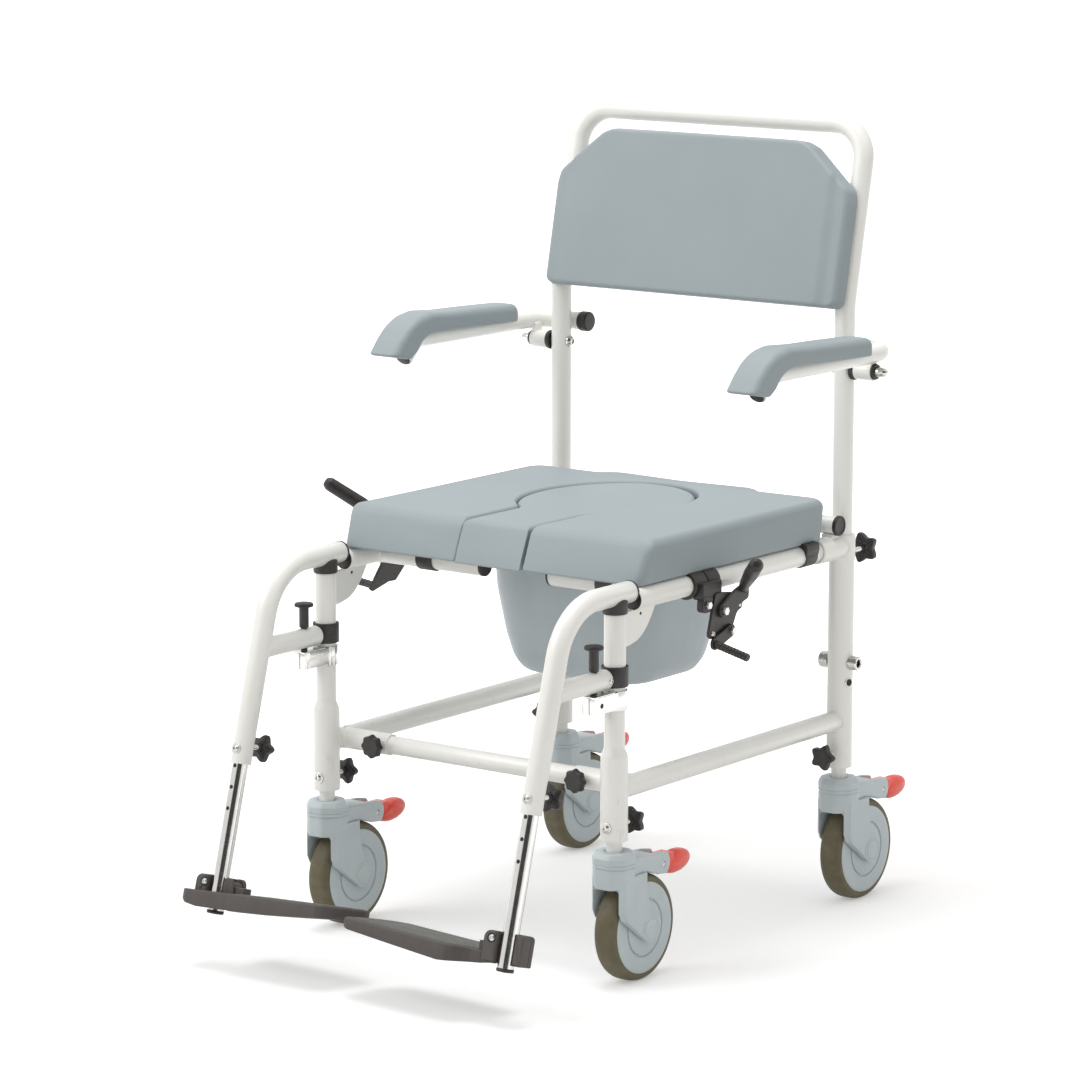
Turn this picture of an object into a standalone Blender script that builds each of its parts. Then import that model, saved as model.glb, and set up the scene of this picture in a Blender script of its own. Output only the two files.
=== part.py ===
"""Wheeled commode chair with lift-off seat, slide-out pan, flip-up arms and swing-away footrests.

Metres, +Z up. The front faces -Y, "right" is +X (the right side seen from the front), and the
origin is on the floor, under the middle of the chair.
"""

from math import atan, atan2, cos, degrees, pi, radians, sin

import bmesh
import bpy
from mathutils import Matrix, Vector

GAP = 0.0003
WELD = 0.000005
SIDES = (("right", 1), ("left", -1))

# Frame
FRAME_X = 0.210
FRONT_LEG_Y = -0.184
REAR_LEG_Y = 0.284
TUBE_R = 0.0125
LEG_R = 0.0158
LEG_BOTTOM_Z = 0.1715
SEAT_RAIL_Z = 0.444
LOWER_RAIL_Z = 0.2295
CROSS_BAR_Y = -0.1535
CROSS_BAR_R = 0.011
REAR_TUBE_Y = 0.259
REAR_TUBE_Z = 0.4723

# Leg extensions and casters
INSERT_R = 0.0095
INSERT_BORE_R = 0.0098
WHEEL_R = 0.0625
WHEEL_TRAIL = 0.040
WHEEL_HALF = 0.015
FORK_HALF = 0.0236
FORK_SLOT_HALF = 0.0178
HOUSING_TOP_Z = 0.159

# Back frame and arms
KNEE_Z = 0.735
BACK_LEAN = radians(12)
BACK_TOP_Z = 0.947
BACK_CORNER_R = 0.045
UPRIGHT_BOTTOM_Z = 0.335
ARM_PIVOT_Z = 0.6585
ARM_X = 0.258
ARM_Z = 0.6815
ARM_R = 0.011
ARM_REAR_Y = 0.308

# Footrests
HANGER_Z = 0.454
HANGER_FOOT = (-0.342, 0.231)
HANGER_SLOPE = 0.283
BRACE_Z = 0.3605
PLUNGER_Y = -0.2245
HUB_Z = 0.088
PEDAL_PIVOT_Y = 0.0735
PEDAL_PIVOT_Z = 0.1308
HINGE_P = 0.0188
HINGE_N = 0.0065
PLATE_PITCH = {"right": radians(12.6), "left": radians(15.6)}
PLATE_RISE = {"right": 0.041, "left": 0.050}

# Brakes
BRAKE_TURN = {"right": 0.0, "left": radians(20)}
BRAKE_SLIDE = {"right": 0.0, "left": -0.009}
LEVER_PIVOT = (-0.0085, 0.4122)
BRAKE_ARM_PIVOT = (0.0079, 0.3867)
GRIP_TIP = {"right": (-0.0630, 0.4842, 0.3200), "left": (-0.0405, 0.4715, 0.3371)}

# Seat and pan
SEAT_Z = (0.461, 0.508)
PAN_CENTRE_Y = 0.097

COLOURS = {
    "paint": ((0.84, 0.83, 0.79), 0.35, 0.0),
    "chrome": ((0.80, 0.80, 0.80), 0.15, 1.0),
    "black": ((0.03, 0.03, 0.03), 0.45, 0.0),
    "cushion": ((0.40, 0.46, 0.49), 0.55, 0.0),
    "pan_plastic": ((0.55, 0.62, 0.68), 0.40, 0.0),
    "caster_plastic": ((0.42, 0.48, 0.51), 0.45, 0.0),
    "tyre": ((0.14, 0.12, 0.07), 0.60, 0.0),
    "pedal": ((0.90, 0.12, 0.09), 0.35, 0.0),
    "footplate_plastic": ((0.11, 0.10, 0.09), 0.60, 0.0),
}


def clear_scene():
    for item in list(bpy.data.objects):
        bpy.data.objects.remove(item, do_unlink=True)


def material(name):
    colour, roughness, metallic = COLOURS[name]
    made = bpy.data.materials.new(name)
    made.use_nodes = True
    shader = made.node_tree.nodes["Principled BSDF"]
    shader.inputs["Base Color"].default_value = (*colour, 1.0)
    shader.inputs["Roughness"].default_value = roughness
    shader.inputs["Metallic"].default_value = metallic
    return made


def finish(name, mesh, finish_name, smooth=True):
    """Turn a bmesh into a named object with its own material."""
    bmesh.ops.recalc_face_normals(mesh, faces=mesh.faces[:])
    data = bpy.data.meshes.new(name)
    mesh.to_mesh(data)
    mesh.free()
    if smooth:
        data.shade_smooth()
        data.set_sharp_from_angle(angle=radians(35))
    made = bpy.data.objects.new(name, data)
    bpy.context.scene.collection.objects.link(made)
    if finish_name:
        data.materials.append(material(finish_name))
    return made


def rounded_route(corners, radii, steps):
    """A polyline with each inner corner turned into an arc of its own radius and step count."""
    points = [Vector(corners[0])]
    for before, corner, after, radius, count in zip(corners, corners[1:], corners[2:], radii, steps):
        corner = Vector(corner)
        back = (Vector(before) - corner).normalized()
        ahead = (Vector(after) - corner).normalized()
        half = back.angle(ahead) / 2
        reach = radius / abs(sin(half) / cos(half))
        centre = corner + (back + ahead).normalized() * radius / sin(half)
        start = corner + back * reach - centre
        turn = pi - 2 * half
        axis = start.cross(corner + ahead * reach - centre).normalized()
        for step in range(count + 1):
            spin = Matrix.Rotation(turn * step / count, 3, axis)
            points.append(centre + spin @ start)
    points.append(Vector(corners[-1]))
    return points


def bar_mesh(route, radius, sides=16):
    """A round bar swept along the route by extruding its end face from point to point."""
    route = [Vector(point) for point in route]
    last = len(route) - 1
    aims = []
    for index in range(last + 1):
        aims.append((route[min(index + 1, last)] - route[max(index - 1, 0)]).normalized())
    side = aims[0].orthogonal().normalized()
    frames = []
    for index, aim in enumerate(aims):
        if index:
            side = aims[index - 1].rotation_difference(aim) @ side
        other = aim.cross(side)
        turn = Matrix((side, other, aim)).transposed().to_4x4()
        frames.append(Matrix.Translation(route[index]) @ turn)
    mesh = bmesh.new()
    bmesh.ops.create_circle(mesh, cap_ends=True, radius=radius, segments=sides, matrix=frames[0])
    mesh.faces.ensure_lookup_table()
    rings = [[corner.vert for corner in mesh.faces[0].loops]]
    for before, frame in zip(frames, frames[1:]):
        move = frame @ before.inverted()
        rings.append([mesh.verts.new(move @ vert.co) for vert in rings[-1]])
        for index in range(sides):
            following = (index + 1) % sides
            low = rings[-2]
            high = rings[-1]
            mesh.faces.new((low[index], low[following], high[following], high[index]))
    mesh.faces.new(rings[-1])
    return mesh


def bar(name, route, radius, finish_name, sides=16):
    return finish(name, bar_mesh(route, radius, sides), finish_name)


def turned(name, profile, centre, axis, finish_name, sides=16, start=0.0):
    """A closed profile of (radius, height) points spun about the axis through the centre."""
    mesh = bmesh.new()
    rotate = Vector((0, 0, 1)).rotation_difference(Vector(axis)).to_matrix().to_4x4()
    place = Matrix.Translation(Vector(centre)) @ rotate
    rings = []
    for radius, height in profile:
        if radius < 1e-6:
            rings.append([mesh.verts.new(place @ Vector((0, 0, height)))])
            continue
        ring = []
        for index in range(sides):
            angle = start + 2 * pi * index / sides
            point = Vector((radius * cos(angle), radius * sin(angle), height))
            ring.append(mesh.verts.new(place @ point))
        rings.append(ring)
    pairs = list(zip(rings, rings[1:]))
    if len(rings[0]) > 1 or len(rings[-1]) > 1:
        pairs.append((rings[-1], rings[0]))
    for low, high in pairs:
        for index in range(sides):
            following = (index + 1) % sides
            if len(low) == 1 and len(high) == 1:
                continue
            if len(low) == 1:
                mesh.faces.new((low[0], high[following], high[index]))
            elif len(high) == 1:
                mesh.faces.new((low[index], low[following], high[0]))
            else:
                mesh.faces.new((low[index], low[following], high[following], high[index]))
    return finish(name, mesh, finish_name)


def plate(name, outline, low, high, frame, finish_name, smooth=False):
    """A flat outline of (a, b) points, extruded from low to high along the frame's third axis."""
    mesh = bmesh.new()
    base = [mesh.verts.new(frame @ Vector((a, b, low))) for a, b in outline]
    face = mesh.faces.new(base)
    made = bmesh.ops.extrude_face_region(mesh, geom=[face], use_keep_orig=True)
    raised = [item for item in made["geom"] if isinstance(item, bmesh.types.BMVert)]
    lift = frame.to_3x3() @ Vector((0, 0, high - low))
    bmesh.ops.translate(mesh, vec=lift, verts=raised)
    return finish(name, mesh, finish_name, smooth)


def block(name, low, high, finish_name):
    mesh = bmesh.new()
    size = Vector(high) - Vector(low)
    middle = (Vector(high) + Vector(low)) / 2
    place = Matrix.Translation(middle) @ Matrix.Diagonal((*size, 1))
    bmesh.ops.create_cube(mesh, size=1, matrix=place)
    return finish(name, mesh, finish_name, smooth=False)


def weld(data):
    """Merge points that a cut or a join left a few micrometres apart."""
    mesh = bmesh.new()
    mesh.from_mesh(data)
    bmesh.ops.remove_doubles(mesh, verts=mesh.verts[:], dist=WELD)
    bmesh.ops.dissolve_degenerate(mesh, dist=WELD, edges=mesh.edges[:])
    mesh.to_mesh(data)
    mesh.free()


def combine(body, tools, operation):
    """Join the tools to the body, or cut them out of it, and take them away again."""
    for tool in tools:
        tool.hide_render = True
        tool.display_type = "WIRE"
        change = body.modifiers.new(tool.name, "BOOLEAN")
        change.operation = operation
        change.object = tool
    graph = bpy.context.evaluated_depsgraph_get()
    fresh = bpy.data.meshes.new_from_object(body.evaluated_get(graph))
    body.modifiers.clear()
    weld(fresh)
    body.data = fresh
    for tool in tools:
        bpy.data.objects.remove(tool, do_unlink=True)
    return body


def join(body, *tools):
    return combine(body, tools, "UNION")


def cut(body, *tools):
    return combine(body, tools, "DIFFERENCE")


def hang(piece, pivot):
    """Put the piece's origin on its joint."""
    pivot = Vector(pivot)
    piece.data.transform(Matrix.Translation(-pivot))
    piece.location = pivot
    return piece


def arc(centre, radius, start, end, steps):
    """Points (a, b) on an arc, from the start to the end angle in degrees."""
    points = []
    for step in range(steps + 1):
        angle = radians(start + (end - start) * step / steps)
        points.append((centre[0] + radius * cos(angle), centre[1] + radius * sin(angle)))
    return points


def side_frame(x=0.0):
    """A frame whose first two axes are world Y and Z, and whose third is world X."""
    axes = Matrix(((0, 0, 1), (1, 0, 0), (0, 1, 0))).to_4x4()
    return Matrix.Translation((x, 0, 0)) @ axes


def side_span(sign, low, high):
    """The span between two distances from the centre plane, in rising X."""
    return (low, high) if sign > 0 else (-high, -low)


def hanger_y(z):
    return HANGER_FOOT[0] + (z - HANGER_FOOT[1]) * HANGER_SLOPE


# Legs and rails

def front_leg(side, sign):
    """A leg with a bore for its extension, a spigot for the footrest, and the rail's gusset."""
    profile = [
        (0.0, 0.262), (INSERT_BORE_R, 0.262), (INSERT_BORE_R, LEG_BOTTOM_Z), (LEG_R, LEG_BOTTOM_Z),
        (LEG_R, 0.268), (0.0120, 0.281), (0.0120, 0.321), (TUBE_R, 0.322), (TUBE_R, 0.433),
        (0.008, 0.433), (0.008, 0.4443), (0.0, 0.4443),
    ]
    leg = turned(f"front_leg_{side}", profile, (sign * FRAME_X, FRONT_LEG_Y, 0), (0, 0, 1), "paint")
    top = SEAT_RAIL_Z - TUBE_R - GAP
    outline = [
        (-0.176, top), (-0.176, 0.392), (-0.161, 0.392), (-0.143, 0.396), (-0.132, 0.4025),
        (-0.124, 0.410), (-0.116, 0.420), (-0.108, top),
    ]
    low, high = side_span(sign, FRAME_X - 0.0025, FRAME_X + 0.0025)
    gusset = plate("gusset", outline, low, high, side_frame(), None)
    return join(leg, gusset)


def rear_leg(side, sign):
    """A leg with a bore at each end, and a collar that takes the seat rail from the front."""
    x = sign * FRAME_X
    outer = [
        (0.0, LEG_BOTTOM_Z), (LEG_R, LEG_BOTTOM_Z), (LEG_R, 0.4255), (0.0164, 0.4260),
        (0.0164, 0.4580), (0.0, 0.4580),
    ]
    leg = turned(f"rear_leg_{side}", outer, (x, REAR_LEG_Y, 0), (0, 0, 1), "paint")
    collar = bar("collar", [(x, 0.225, SEAT_RAIL_Z), (x, REAR_LEG_Y, SEAT_RAIL_Z)], 0.0152, None)
    saddle = block("saddle", (x - 0.008, 0.251, 0.450), (x + 0.008, 0.267, REAR_TUBE_Z - 0.0113), None)
    join(leg, collar, saddle)
    lower = bar("lower", [(x, REAR_LEG_Y, 0.16), (x, REAR_LEG_Y, 0.262)], INSERT_BORE_R, None, 12)
    upper = bar("upper", [(x, REAR_LEG_Y, 0.330), (x, REAR_LEG_Y, 0.47)], TUBE_R + GAP, None)
    front = bar("front", [(x, 0.21, SEAT_RAIL_Z), (x, 0.260, SEAT_RAIL_Z)], TUBE_R + GAP, None)
    return cut(leg, lower, upper, front)


def seat_rail(side, sign):
    x = sign * FRAME_X
    rail = bar(f"seat_rail_{side}", [(x, -0.150, SEAT_RAIL_Z), (x, 0.2597, SEAT_RAIL_Z)], TUBE_R, "paint")
    stub = bar("stub", [(x, -0.085, SEAT_RAIL_Z), (sign * 0.047, -0.085, SEAT_RAIL_Z)], 0.0122, None)
    return join(rail, stub)


def lower_rail(side, sign):
    """The rail between the legs, with the sleeve that holds the front cross bar."""
    x = sign * FRAME_X
    ends = [(x, FRONT_LEG_Y, LOWER_RAIL_Z), (x, REAR_LEG_Y, LOWER_RAIL_Z)]
    rail = bar(f"lower_rail_{side}", ends, TUBE_R, "paint")
    sleeve_ends = [(x, CROSS_BAR_Y, LOWER_RAIL_Z), (sign * 0.135, CROSS_BAR_Y, LOWER_RAIL_Z)]
    join(rail, bar("sleeve", sleeve_ends, 0.0127, None))
    copes = []
    for y in (FRONT_LEG_Y, REAR_LEG_Y):
        copes.append(bar("cope", [(x, y, 0.19), (x, y, 0.265)], LEG_R + GAP, None))
    bore_ends = [(sign * 0.190, CROSS_BAR_Y, LOWER_RAIL_Z), (sign * 0.12, CROSS_BAR_Y, LOWER_RAIL_Z)]
    return cut(rail, *copes, bar("bore", bore_ends, CROSS_BAR_R + GAP, None, 12))


def cross_members():
    half = 0.1897
    ends = [(-half, CROSS_BAR_Y, LOWER_RAIL_Z), (half, CROSS_BAR_Y, LOWER_RAIL_Z)]
    bar("front_cross_bar", ends, CROSS_BAR_R, "paint", 12)
    ends = [(-0.224, REAR_TUBE_Y, REAR_TUBE_Z), (0.224, REAR_TUBE_Y, REAR_TUBE_Z)]
    bar("rear_cross_tube", ends, CROSS_BAR_R, "paint", 12)


# Leg extensions and casters

def leg_insert(corner, x, y):
    body = bar(f"leg_insert_{corner}", [(x, y, 0.1353), (x, y, 0.258)], INSERT_R, "paint", 12)
    return hang(body, (x, y, 0.1353))


def caster_fork(corner, x, y):
    """Swivel housing, side cheeks that carry the axle, and the arm that carries the pedal."""
    hub = (WHEEL_TRAIL, WHEEL_R)
    cheek = [(-0.0215, 0.142), (-0.0215, 0.092), (-0.017, 0.083), (0.028, 0.0525)]
    cheek += arc(hub, 0.0140, -135, 30, 4)
    cheek += [(0.0420, 0.080), (0.0355, 0.096), (0.0320, 0.1160), (0.0320, 0.142)]
    frame = Matrix.Translation((0, y, 0)) @ side_frame()
    fork = plate(f"caster_fork_{corner}", cheek, x - FORK_HALF, x + FORK_HALF, frame, "caster_plastic", True)
    housing = turned("housing", [(0, 0.116), (0.0238, 0.116), (0.0238, 0.1465), (0, 0.1465)],
                     (x, y, 0), (0, 0, 1), None)
    collar = turned("collar", [(0, 0.140), (0.0240, 0.140), (0.0240, 0.1545), (0.0205, HOUSING_TOP_Z),
                               (0, HOUSING_TOP_Z)], (x, y, 0), (0, 0, 1), None, sides=8)
    arm = [(0.0, 0.1500), (0.0, 0.1290), (0.032, 0.1290), (0.040, 0.1288), (0.066, 0.1200)]
    arm += arc((PEDAL_PIVOT_Y, PEDAL_PIVOT_Z), 0.0175, -50, 45, 4)
    arm += [(0.072, 0.1455), (0.030, 0.1490)]
    arm_body = plate("arm", arm, x - 0.0155, x + 0.0155, frame, None)
    join(fork, housing, collar, arm_body)
    slot = [(-0.030, 0.040), (0.075, 0.040), (0.075, 0.1000), (0.060, 0.1285), (0.020, 0.1285),
            (-0.002, 0.1240), (-0.016, 0.1190), (-0.030, 0.1180)]
    wheel_slot = plate("wheel_slot", slot, x - FORK_SLOT_HALF, x + FORK_SLOT_HALF, frame, None)
    tongue_slot = block("tongue_slot", (x - 0.0098, y + 0.0610, 0.110), (x + 0.0098, y + 0.100, 0.160), None)
    stem_bore = bar("stem_bore", [(x, y, 0.1350), (x, y, 0.170)], INSERT_BORE_R, None, 12)
    cut(fork, wheel_slot, tongue_slot, stem_bore)
    axle_y = y + WHEEL_TRAIL
    axle = bar("axle", [(x - 0.0200, axle_y, WHEEL_R), (x + 0.0200, axle_y, WHEEL_R)], 0.0040, None, 8)
    pin_y = y + PEDAL_PIVOT_Y
    pin = bar("pin", [(x - 0.0120, pin_y, PEDAL_PIVOT_Z), (x + 0.0120, pin_y, PEDAL_PIVOT_Z)], 0.0025, None, 8)
    join(fork, axle, pin)
    return hang(fork, (x, y, 0.1353))


def caster_wheel(corner, x, y):
    """A tyre on a disc with a hub, bored for the axle; it stands on a flat of its outline."""
    hub = 0.0172
    sides = 20
    grow = 1 / cos(pi / sides)
    profile = [
        (0.0044, -hub), (0.0120, -hub), (0.0130, -0.0135), (0.0480, -0.0135), (0.0530, -WHEEL_HALF),
        (0.0590, -0.0115), (WHEEL_R, -0.0045), (WHEEL_R, 0.0045), (0.0590, 0.0115),
        (0.0530, WHEEL_HALF), (0.0480, 0.0135), (0.0130, 0.0135), (0.0120, hub), (0.0044, hub),
    ]
    profile = [(radius * grow, height) for radius, height in profile]
    centre = (x, y + WHEEL_TRAIL, WHEEL_R)
    wheel = turned(f"caster_wheel_{corner}", profile, centre, (1, 0, 0), "tyre", sides, pi / sides)
    return hang(wheel, centre)


def caster_pedal(corner, x, y):
    """A lock pedal whose tongue turns on the pin in the fork's arm."""
    pivot = (PEDAL_PIVOT_Y, PEDAL_PIVOT_Z)
    frame = Matrix.Translation((0, y, 0)) @ side_frame()
    tongue = arc(pivot, 0.0085, 100, 250, 4) + [(0.104, 0.1180), (0.104, 0.1390)]
    pedal = plate(f"caster_pedal_{corner}", tongue, x - 0.0093, x + 0.0093, frame, "pedal")
    head = arc(pivot, 0.0187, -44, 36, 4)[::-1]
    head += [(0.0920, 0.1130), (0.1080, 0.1115), (0.1240, 0.1150), (0.1360, 0.1225), (0.1400, 0.1305),
             (0.1360, 0.1385), (0.1240, 0.1425), (0.1080, 0.1435), (0.0930, 0.1430)]
    join(pedal, plate("head", head, x - 0.0135, x + 0.0135, frame, None))
    hole = bar("hole", [(x - 0.02, y + pivot[0], pivot[1]), (x + 0.02, y + pivot[0], pivot[1])], 0.0029, None, 8)
    cut(pedal, hole)
    return hang(pedal, (x, y + pivot[0], pivot[1]))


# Back frame and arms

def back_frame():
    """Uprights that drop into the rear legs, bent back and joined by the top bar."""
    rise = BACK_TOP_Z - KNEE_Z
    top_y = REAR_LEG_Y + rise * sin(BACK_LEAN) / cos(BACK_LEAN)
    corners = [
        (FRAME_X, REAR_LEG_Y, UPRIGHT_BOTTOM_Z), (FRAME_X, REAR_LEG_Y, KNEE_Z),
        (FRAME_X, top_y, BACK_TOP_Z), (-FRAME_X, top_y, BACK_TOP_Z),
        (-FRAME_X, REAR_LEG_Y, KNEE_Z), (-FRAME_X, REAR_LEG_Y, UPRIGHT_BOTTOM_Z),
    ]
    route = rounded_route(corners, [0.10, BACK_CORNER_R, BACK_CORNER_R, 0.10], [2, 5, 5, 2])
    tube = bar("back_frame", route, TUBE_R, "paint")
    pins = []
    for _, sign in SIDES:
        ends = [(sign * 0.1935, REAR_LEG_Y, ARM_PIVOT_Z), (sign * 0.2570, REAR_LEG_Y, ARM_PIVOT_Z)]
        pins.append(bar("pin", ends, 0.005, None, 8))
    join(tube, *pins)
    return hang(tube, (0, REAR_LEG_Y, UPRIGHT_BOTTOM_Z))


def back_pad():
    """A flat-faced cushion in front of the leaning part of the back frame."""
    lean = Matrix.Rotation(-BACK_LEAN, 4, "X")
    frame = Matrix.Translation((0, REAR_LEG_Y, KNEE_Z)) @ lean @ Matrix.Rotation(pi / 2, 4, "X")
    half = [
        (0.198, -0.0070), (0.2130, -0.0050), (0.2205, 0.0030), (0.2205, 0.1180), (0.2170, 0.1290),
        (0.2090, 0.1370), (0.1560, 0.1800), (0.1380, 0.1885), (0.0700, 0.1905),
    ]
    outline = half + [(-x, z) for x, z in reversed(half)]
    return plate("back_pad", outline, TUBE_R + GAP, 0.0340, frame, "cushion")


def arm_route(sign, reach=0.0):
    """Cross part behind the upright, straight run forward, and the end bent down at 42 degrees."""
    x = sign * ARM_X
    corner = Vector((x, 0.050, ARM_Z))
    drop = Vector((0, -cos(radians(42)), -sin(radians(42))))
    corners = [
        (sign * 0.1930, ARM_REAR_Y, ARM_Z), (x, ARM_REAR_Y, ARM_Z), corner, corner + drop * (0.039 + reach),
    ]
    return rounded_route(corners, [0.030, 0.022], [4, 3])


def arm_tube(side, sign):
    tube = bar(f"arm_tube_{side}", arm_route(sign), ARM_R, "paint", 12)
    ends = [(sign * 0.2285, REAR_LEG_Y, ARM_PIVOT_Z), (sign * 0.2525, REAR_LEG_Y, ARM_PIVOT_Z)]
    sleeve = bar("sleeve", ends, 0.011, None, 12)
    low, high = side_span(sign, 0.2450, 0.2524)
    web = block("web", (low, 0.278, 0.6640), (high, 0.290, 0.6780), None)
    join(tube, sleeve, web)
    ends = [(sign * 0.2200, REAR_LEG_Y, ARM_PIVOT_Z), (sign * 0.2600, REAR_LEG_Y, ARM_PIVOT_Z)]
    cut(tube, bar("bore", ends, 0.0055, None, 16))
    return hang(tube, (sign * 0.2405, REAR_LEG_Y, ARM_PIVOT_Z))


def arm_pad(side, sign):
    """The pad sits over the tube, and its nose turns down over the tube's end."""
    outline = [
        (0.2340, 0.6850), (0.2340, 0.7020), (0.2300, 0.7070), (0.1620, 0.7090), (0.1030, 0.7106),
        (0.0560, 0.7136), (0.0330, 0.7088), (0.0160, 0.6994), (0.0020, 0.6865), (-0.0110, 0.6720),
        (-0.0118, 0.6680), (-0.0010, 0.6634), (0.0135, 0.6610), (0.0280, 0.6690), (0.0420, 0.6820),
        (0.0560, 0.6880), (0.0740, 0.6910), (0.1030, 0.6896), (0.1630, 0.6870),
    ]
    low, high = side_span(sign, 0.2384, 0.2826)
    pad = plate(f"arm_pad_{side}", outline, low, high, side_frame(), "cushion")
    route = arm_route(sign, reach=0.02)
    cut(pad, bar("groove", route, ARM_R + GAP, None, 12))
    return pad


# Footrests

def footrest_hanger(side, sign):
    """A bent tube on the front leg's spigot, braced to a collar round the leg."""
    x = sign * FRAME_X
    foot_y, foot_z = HANGER_FOOT
    corners = [(x, -0.157, HANGER_Z), (x, hanger_y(HANGER_Z), HANGER_Z), (x, foot_y, foot_z)]
    tube = bar(f"footrest_hanger_{side}", rounded_route(corners, [0.075], [6]), TUBE_R, "paint")
    brace = bar("brace", [(x, hanger_y(BRACE_Z), BRACE_Z), (x, -0.195, BRACE_Z)], 0.012, None, 12)
    collar = bar("collar", [(x, FRONT_LEG_Y, 0.350), (x, FRONT_LEG_Y, 0.3735)], 0.0157, None)
    cap = bar("cap", [(x, FRONT_LEG_Y, 0.4334), (x, FRONT_LEG_Y, 0.4500)], 0.0145, None)
    join(tube, brace, collar, cap)
    down = Vector((0, -HANGER_SLOPE, -1)).normalized()
    foot = Vector((x, foot_y, foot_z))
    bore = bar("bore", [foot + down * 0.02, foot - down * 0.174], INSERT_BORE_R, None, 12)
    leg = bar("leg", [(x, FRONT_LEG_Y, 0.34), (x, FRONT_LEG_Y, 0.38)], TUBE_R + GAP, None)
    spigot = bar("spigot", [(x, FRONT_LEG_Y, 0.42), (x, FRONT_LEG_Y, 0.4447)], 0.0083, None)
    pin = bar("pin", [(x, PLUNGER_Y, 0.34), (x, PLUNGER_Y, 0.38)], 0.0042, None, 8)
    counterbore = bar("counterbore", [(x, PLUNGER_Y, 0.3632), (x, PLUNGER_Y, 0.38)], 0.0064, None, 8)
    cut(tube, bore, leg, spigot, pin, counterbore)
    return hang(tube, (x, FRONT_LEG_Y, 0.4334))


def latch_bracket(side, sign):
    """A ring round the leg with a tongue, drilled for the plunger."""
    x = sign * FRAME_X
    ring = bar(f"latch_bracket_{side}", [(x, FRONT_LEG_Y, 0.3235), (x, FRONT_LEG_Y, 0.346)], 0.0168, "chrome")
    tongue = block("tongue", (x - 0.0115, -0.241, 0.3430), (x + 0.0115, FRONT_LEG_Y, 0.346), None)
    join(ring, tongue)
    leg = bar("leg", [(x, FRONT_LEG_Y, 0.31), (x, FRONT_LEG_Y, 0.36)], TUBE_R + GAP, None)
    hole = bar("hole", [(x, PLUNGER_Y, 0.33), (x, PLUNGER_Y, 0.36)], 0.0044, None, 8)
    return cut(ring, leg, hole)


def latch_plunger(side, sign):
    profile = [
        (0.0, 0.3466), (0.0038, 0.3466), (0.0038, 0.3735), (0.00575, 0.3735), (0.00575, 0.3980),
        (0.0115, 0.3985), (0.0115, 0.4020), (0.0, 0.4035),
    ]
    x = sign * FRAME_X
    plunger = turned(f"latch_plunger_{side}", profile, (x, PLUNGER_Y, 0), (0, 0, 1), "black", sides=8)
    return hang(plunger, (x, PLUNGER_Y, 0.3466))


def footrest_tube(side, sign):
    x = sign * FRAME_X
    ends = [(x, hanger_y(0.308), 0.308), (x, hanger_y(0.062), 0.062)]
    tube = bar(f"footrest_tube_{side}", ends, INSERT_R, "chrome", 12)
    return hang(tube, (x, *HANGER_FOOT))


def tube_frame(side, sign, pitch):
    """Axes inward from the tube, forward across it and up along it, at the footplate's height."""
    inward = Vector((-sign, 0, 0))
    forward = Vector((0, -cos(pitch), sin(pitch)))
    up = Vector((0, sin(pitch), cos(pitch)))
    frame = Matrix((inward, forward, up)).transposed().to_4x4()
    return Matrix.Translation((sign * FRAME_X, hanger_y(HUB_Z), HUB_Z)) @ frame


def hub_frame(side, sign):
    return tube_frame(side, sign, atan(HANGER_SLOPE))


def hinge_frame(side, sign):
    """The same axes at the footplate's hinge, which follow the plate's own slope."""
    pivot = hub_frame(side, sign) @ Vector((HINGE_P, 0, HINGE_N))
    turn = tube_frame(side, sign, PLATE_PITCH[side]).to_3x3().to_4x4()
    return Matrix.Translation(pivot) @ turn


def front_view(frame):
    """The given frame with its first two axes inward and up, and its third forward."""
    swap = Matrix(((1, 0, 0), (0, 0, 1), (0, 1, 0))).to_4x4()
    return frame @ swap


def box_in(name, frame, low, high):
    outline = [(low[0], low[1]), (high[0], low[1]), (high[0], high[1]), (low[0], high[1])]
    return plate(name, outline, low[2], high[2], frame, None)


def bar_in(name, frame, ends, radius, sides=12):
    return bar(name, [frame @ Vector(end) for end in ends], radius, None, sides)


def footplate_hub(side, sign):
    """A clamp block on the tube, open at the front, with two ears for the footplate's hinge."""
    frame = hub_frame(side, sign)
    outer, inner = (-0.0228, 0.0278) if side == "right" else (-0.0270, 0.0300)
    outline = [(outer, -0.0195), (inner, -0.0195), (inner, 0.0065)]
    outline += arc((inner - 0.0100, 0.0065), 0.0100, 15, 90, 4)
    outline += [(outer + 0.0060, 0.0175), (outer + 0.0015, 0.0160), (outer, 0.0115)]
    hub = plate(f"footplate_hub_{side}", outline, -0.0200, 0.0120, front_view(frame), "footplate_plastic")
    bore = bar_in("bore", frame, [(0, 0, -0.05), (0, 0, 0.05)], INSERT_BORE_R)
    channel = box_in("channel", frame, (-INSERT_BORE_R, 0.0, -0.05), (INSERT_BORE_R, 0.03, 0.05))
    slot = box_in("slot", frame, (0.0118, -0.0128, -0.05), (0.0500, 0.0048, 0.05))
    cut(hub, bore, channel, slot)
    hinge = hinge_frame(side, sign)
    pin = bar_in("pin", hinge, [(0, -0.0160, 0), (0, 0.0080, 0)], 0.0030)
    return join(hub, pin)


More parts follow.
